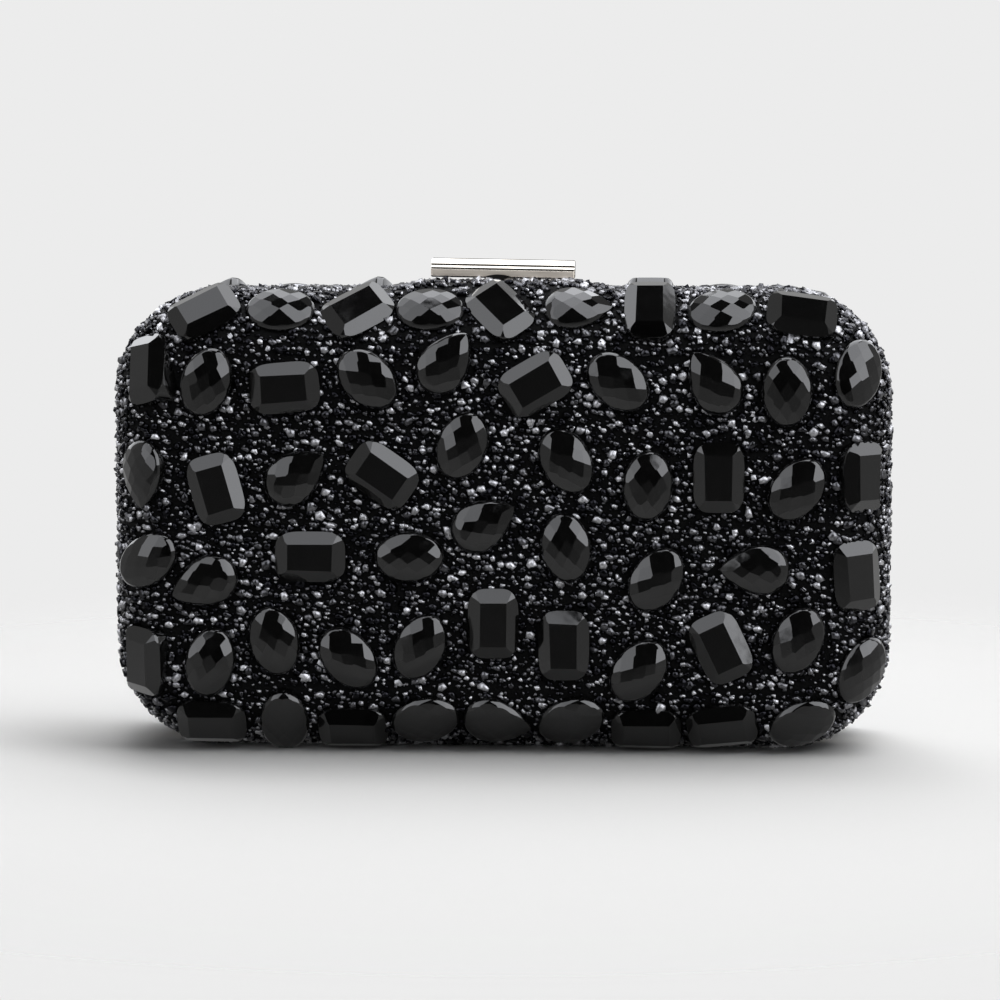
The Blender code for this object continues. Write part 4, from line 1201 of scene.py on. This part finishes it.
def add_world(sizes):
    """The room: the plain background for the eye, a darker front for reflections, soft fill."""
    world = bpy.data.worlds.new("studio")
    bpy.context.scene.world = world
    world.use_nodes = True
    tree = world.node_tree
    tree.nodes.clear()
    path = add_node(tree, "ShaderNodeLightPath").outputs
    direction = add_node(tree, "ShaderNodeSeparateXYZ", {
        "Vector": add_node(tree, "ShaderNodeTexCoord").outputs["Generated"]}).outputs
    aside = math_result(tree, "ABSOLUTE", direction["X"])
    # Where parts of the room start and end, and how bright they are there: the light rear,
    # its sides and its top, the floor beyond the modelled one, and the grey walls
    parts = ((direction["Y"], -0.05, 0.6, 0.03, 1.0), (aside, 0.15, 0.45, 0.0, 1.0),
             (direction["Z"], 0.0, 0.25, 0.0, 1.0), (direction["Z"], -0.05, -0.60, 0.10, 0.60),
             (aside, 0.40, 0.72, 0.0, 0.62))
    rear, beside, above, below, wall = (
        ranged(tree, *part, interpolation_type="SMOOTHSTEP") for part in parts)
    lower = math_result(tree, "LESS_THAN", direction["Z"], 0.0)
    # The rear's middle is dark at eye level and below, so that the back's stones show depth
    behind = math_result(tree, "MULTIPLY", rear, math_result(tree, "MAXIMUM", beside, above))
    ground = math_result(tree, "MULTIPLY", below, lower)
    lit = math_result(tree, "MAXIMUM", behind, ground)
    room = math_result(tree, "MAXIMUM", lit, wall)
    seen = math_result(tree, "MAXIMUM", path["Is Camera Ray"], path["Is Transmission Ray"])
    glossy = add_node(tree, "ShaderNodeMix", {
        "Factor": path["Is Glossy Ray"], "A": 0.20, "B": room})
    strength = add_node(tree, "ShaderNodeMix", {
        "Factor": seen, "A": glossy.outputs["Result"], "B": 1.0})
    background = add_node(tree, "ShaderNodeBackground", {
        "Color": (*sizes.background, 1.0), "Strength": strength.outputs["Result"]})
    add_node(tree, "ShaderNodeOutputWorld", {"Surface": background.outputs["Background"]})


def add_camera():
    """The camera where the photograph was taken from."""
    azimuth, elevation, distance = math.radians(2.6), math.radians(6.13), 0.907
    focal_pixels, picture_pixels = 3475.0, 1000.0
    target = Vector((-0.0009, 0.0, 0.0626))
    back = Vector((math.sin(azimuth) * math.cos(elevation),
                   -math.cos(azimuth) * math.cos(elevation), math.sin(elevation)))
    camera = bpy.data.cameras.new("camera")
    camera.sensor_width = 36.0
    camera.lens = focal_pixels * camera.sensor_width / picture_pixels
    camera.clip_start = 0.01
    item = add_object("camera", camera)
    item.location = target + back * distance
    item.rotation_euler = (-back).to_track_quat("-Z", "Y").to_euler()
    bpy.context.scene.camera = item
    bpy.context.scene.view_settings.view_transform = "Standard"


class CLUTCH_PT_panel(bpy.types.Panel):
    """The clutch's pieces and settings in the sidebar."""

    bl_idname = "CLUTCH_PT_panel"
    bl_label = "Clutch"
    bl_space_type = "VIEW_3D"
    bl_region_type = "UI"
    bl_category = "Clutch"

    def draw(self, context):
        for name in ClutchSettings.__annotations__:
            self.layout.prop(context.scene.clutch, name)
        for operator in OPERATORS:
            self.layout.operator(operator.bl_idname)


OPERATORS = (CLUTCH_OT_stage, CLUTCH_OT_skins, CLUTCH_OT_stones, CLUTCH_OT_crystals,
             CLUTCH_OT_clasp, CLUTCH_OT_shells, CLUTCH_OT_linings)
CLASSES = (ClutchSettings, *OPERATORS, CLUTCH_PT_panel)


def register():
    """Register the classes and the scene's settings."""
    for item in CLASSES:
        bpy.utils.register_class(item)
    bpy.types.Scene.clutch = PointerProperty(type=ClutchSettings)


def unregister():
    """Take the settings and the classes away again."""
    del bpy.types.Scene.clutch
    for item in reversed(CLASSES):
        bpy.utils.unregister_class(item)


def main():
    """Build every piece."""
    register()
    bpy.ops.clutch.stage()
    bpy.ops.clutch.skins()
    bpy.ops.clutch.stones()
    bpy.ops.clutch.crystals()
    bpy.ops.clutch.clasp()
    bpy.ops.clutch.shells()
    bpy.ops.clutch.linings()


if __name__ == "__main__":
    main()
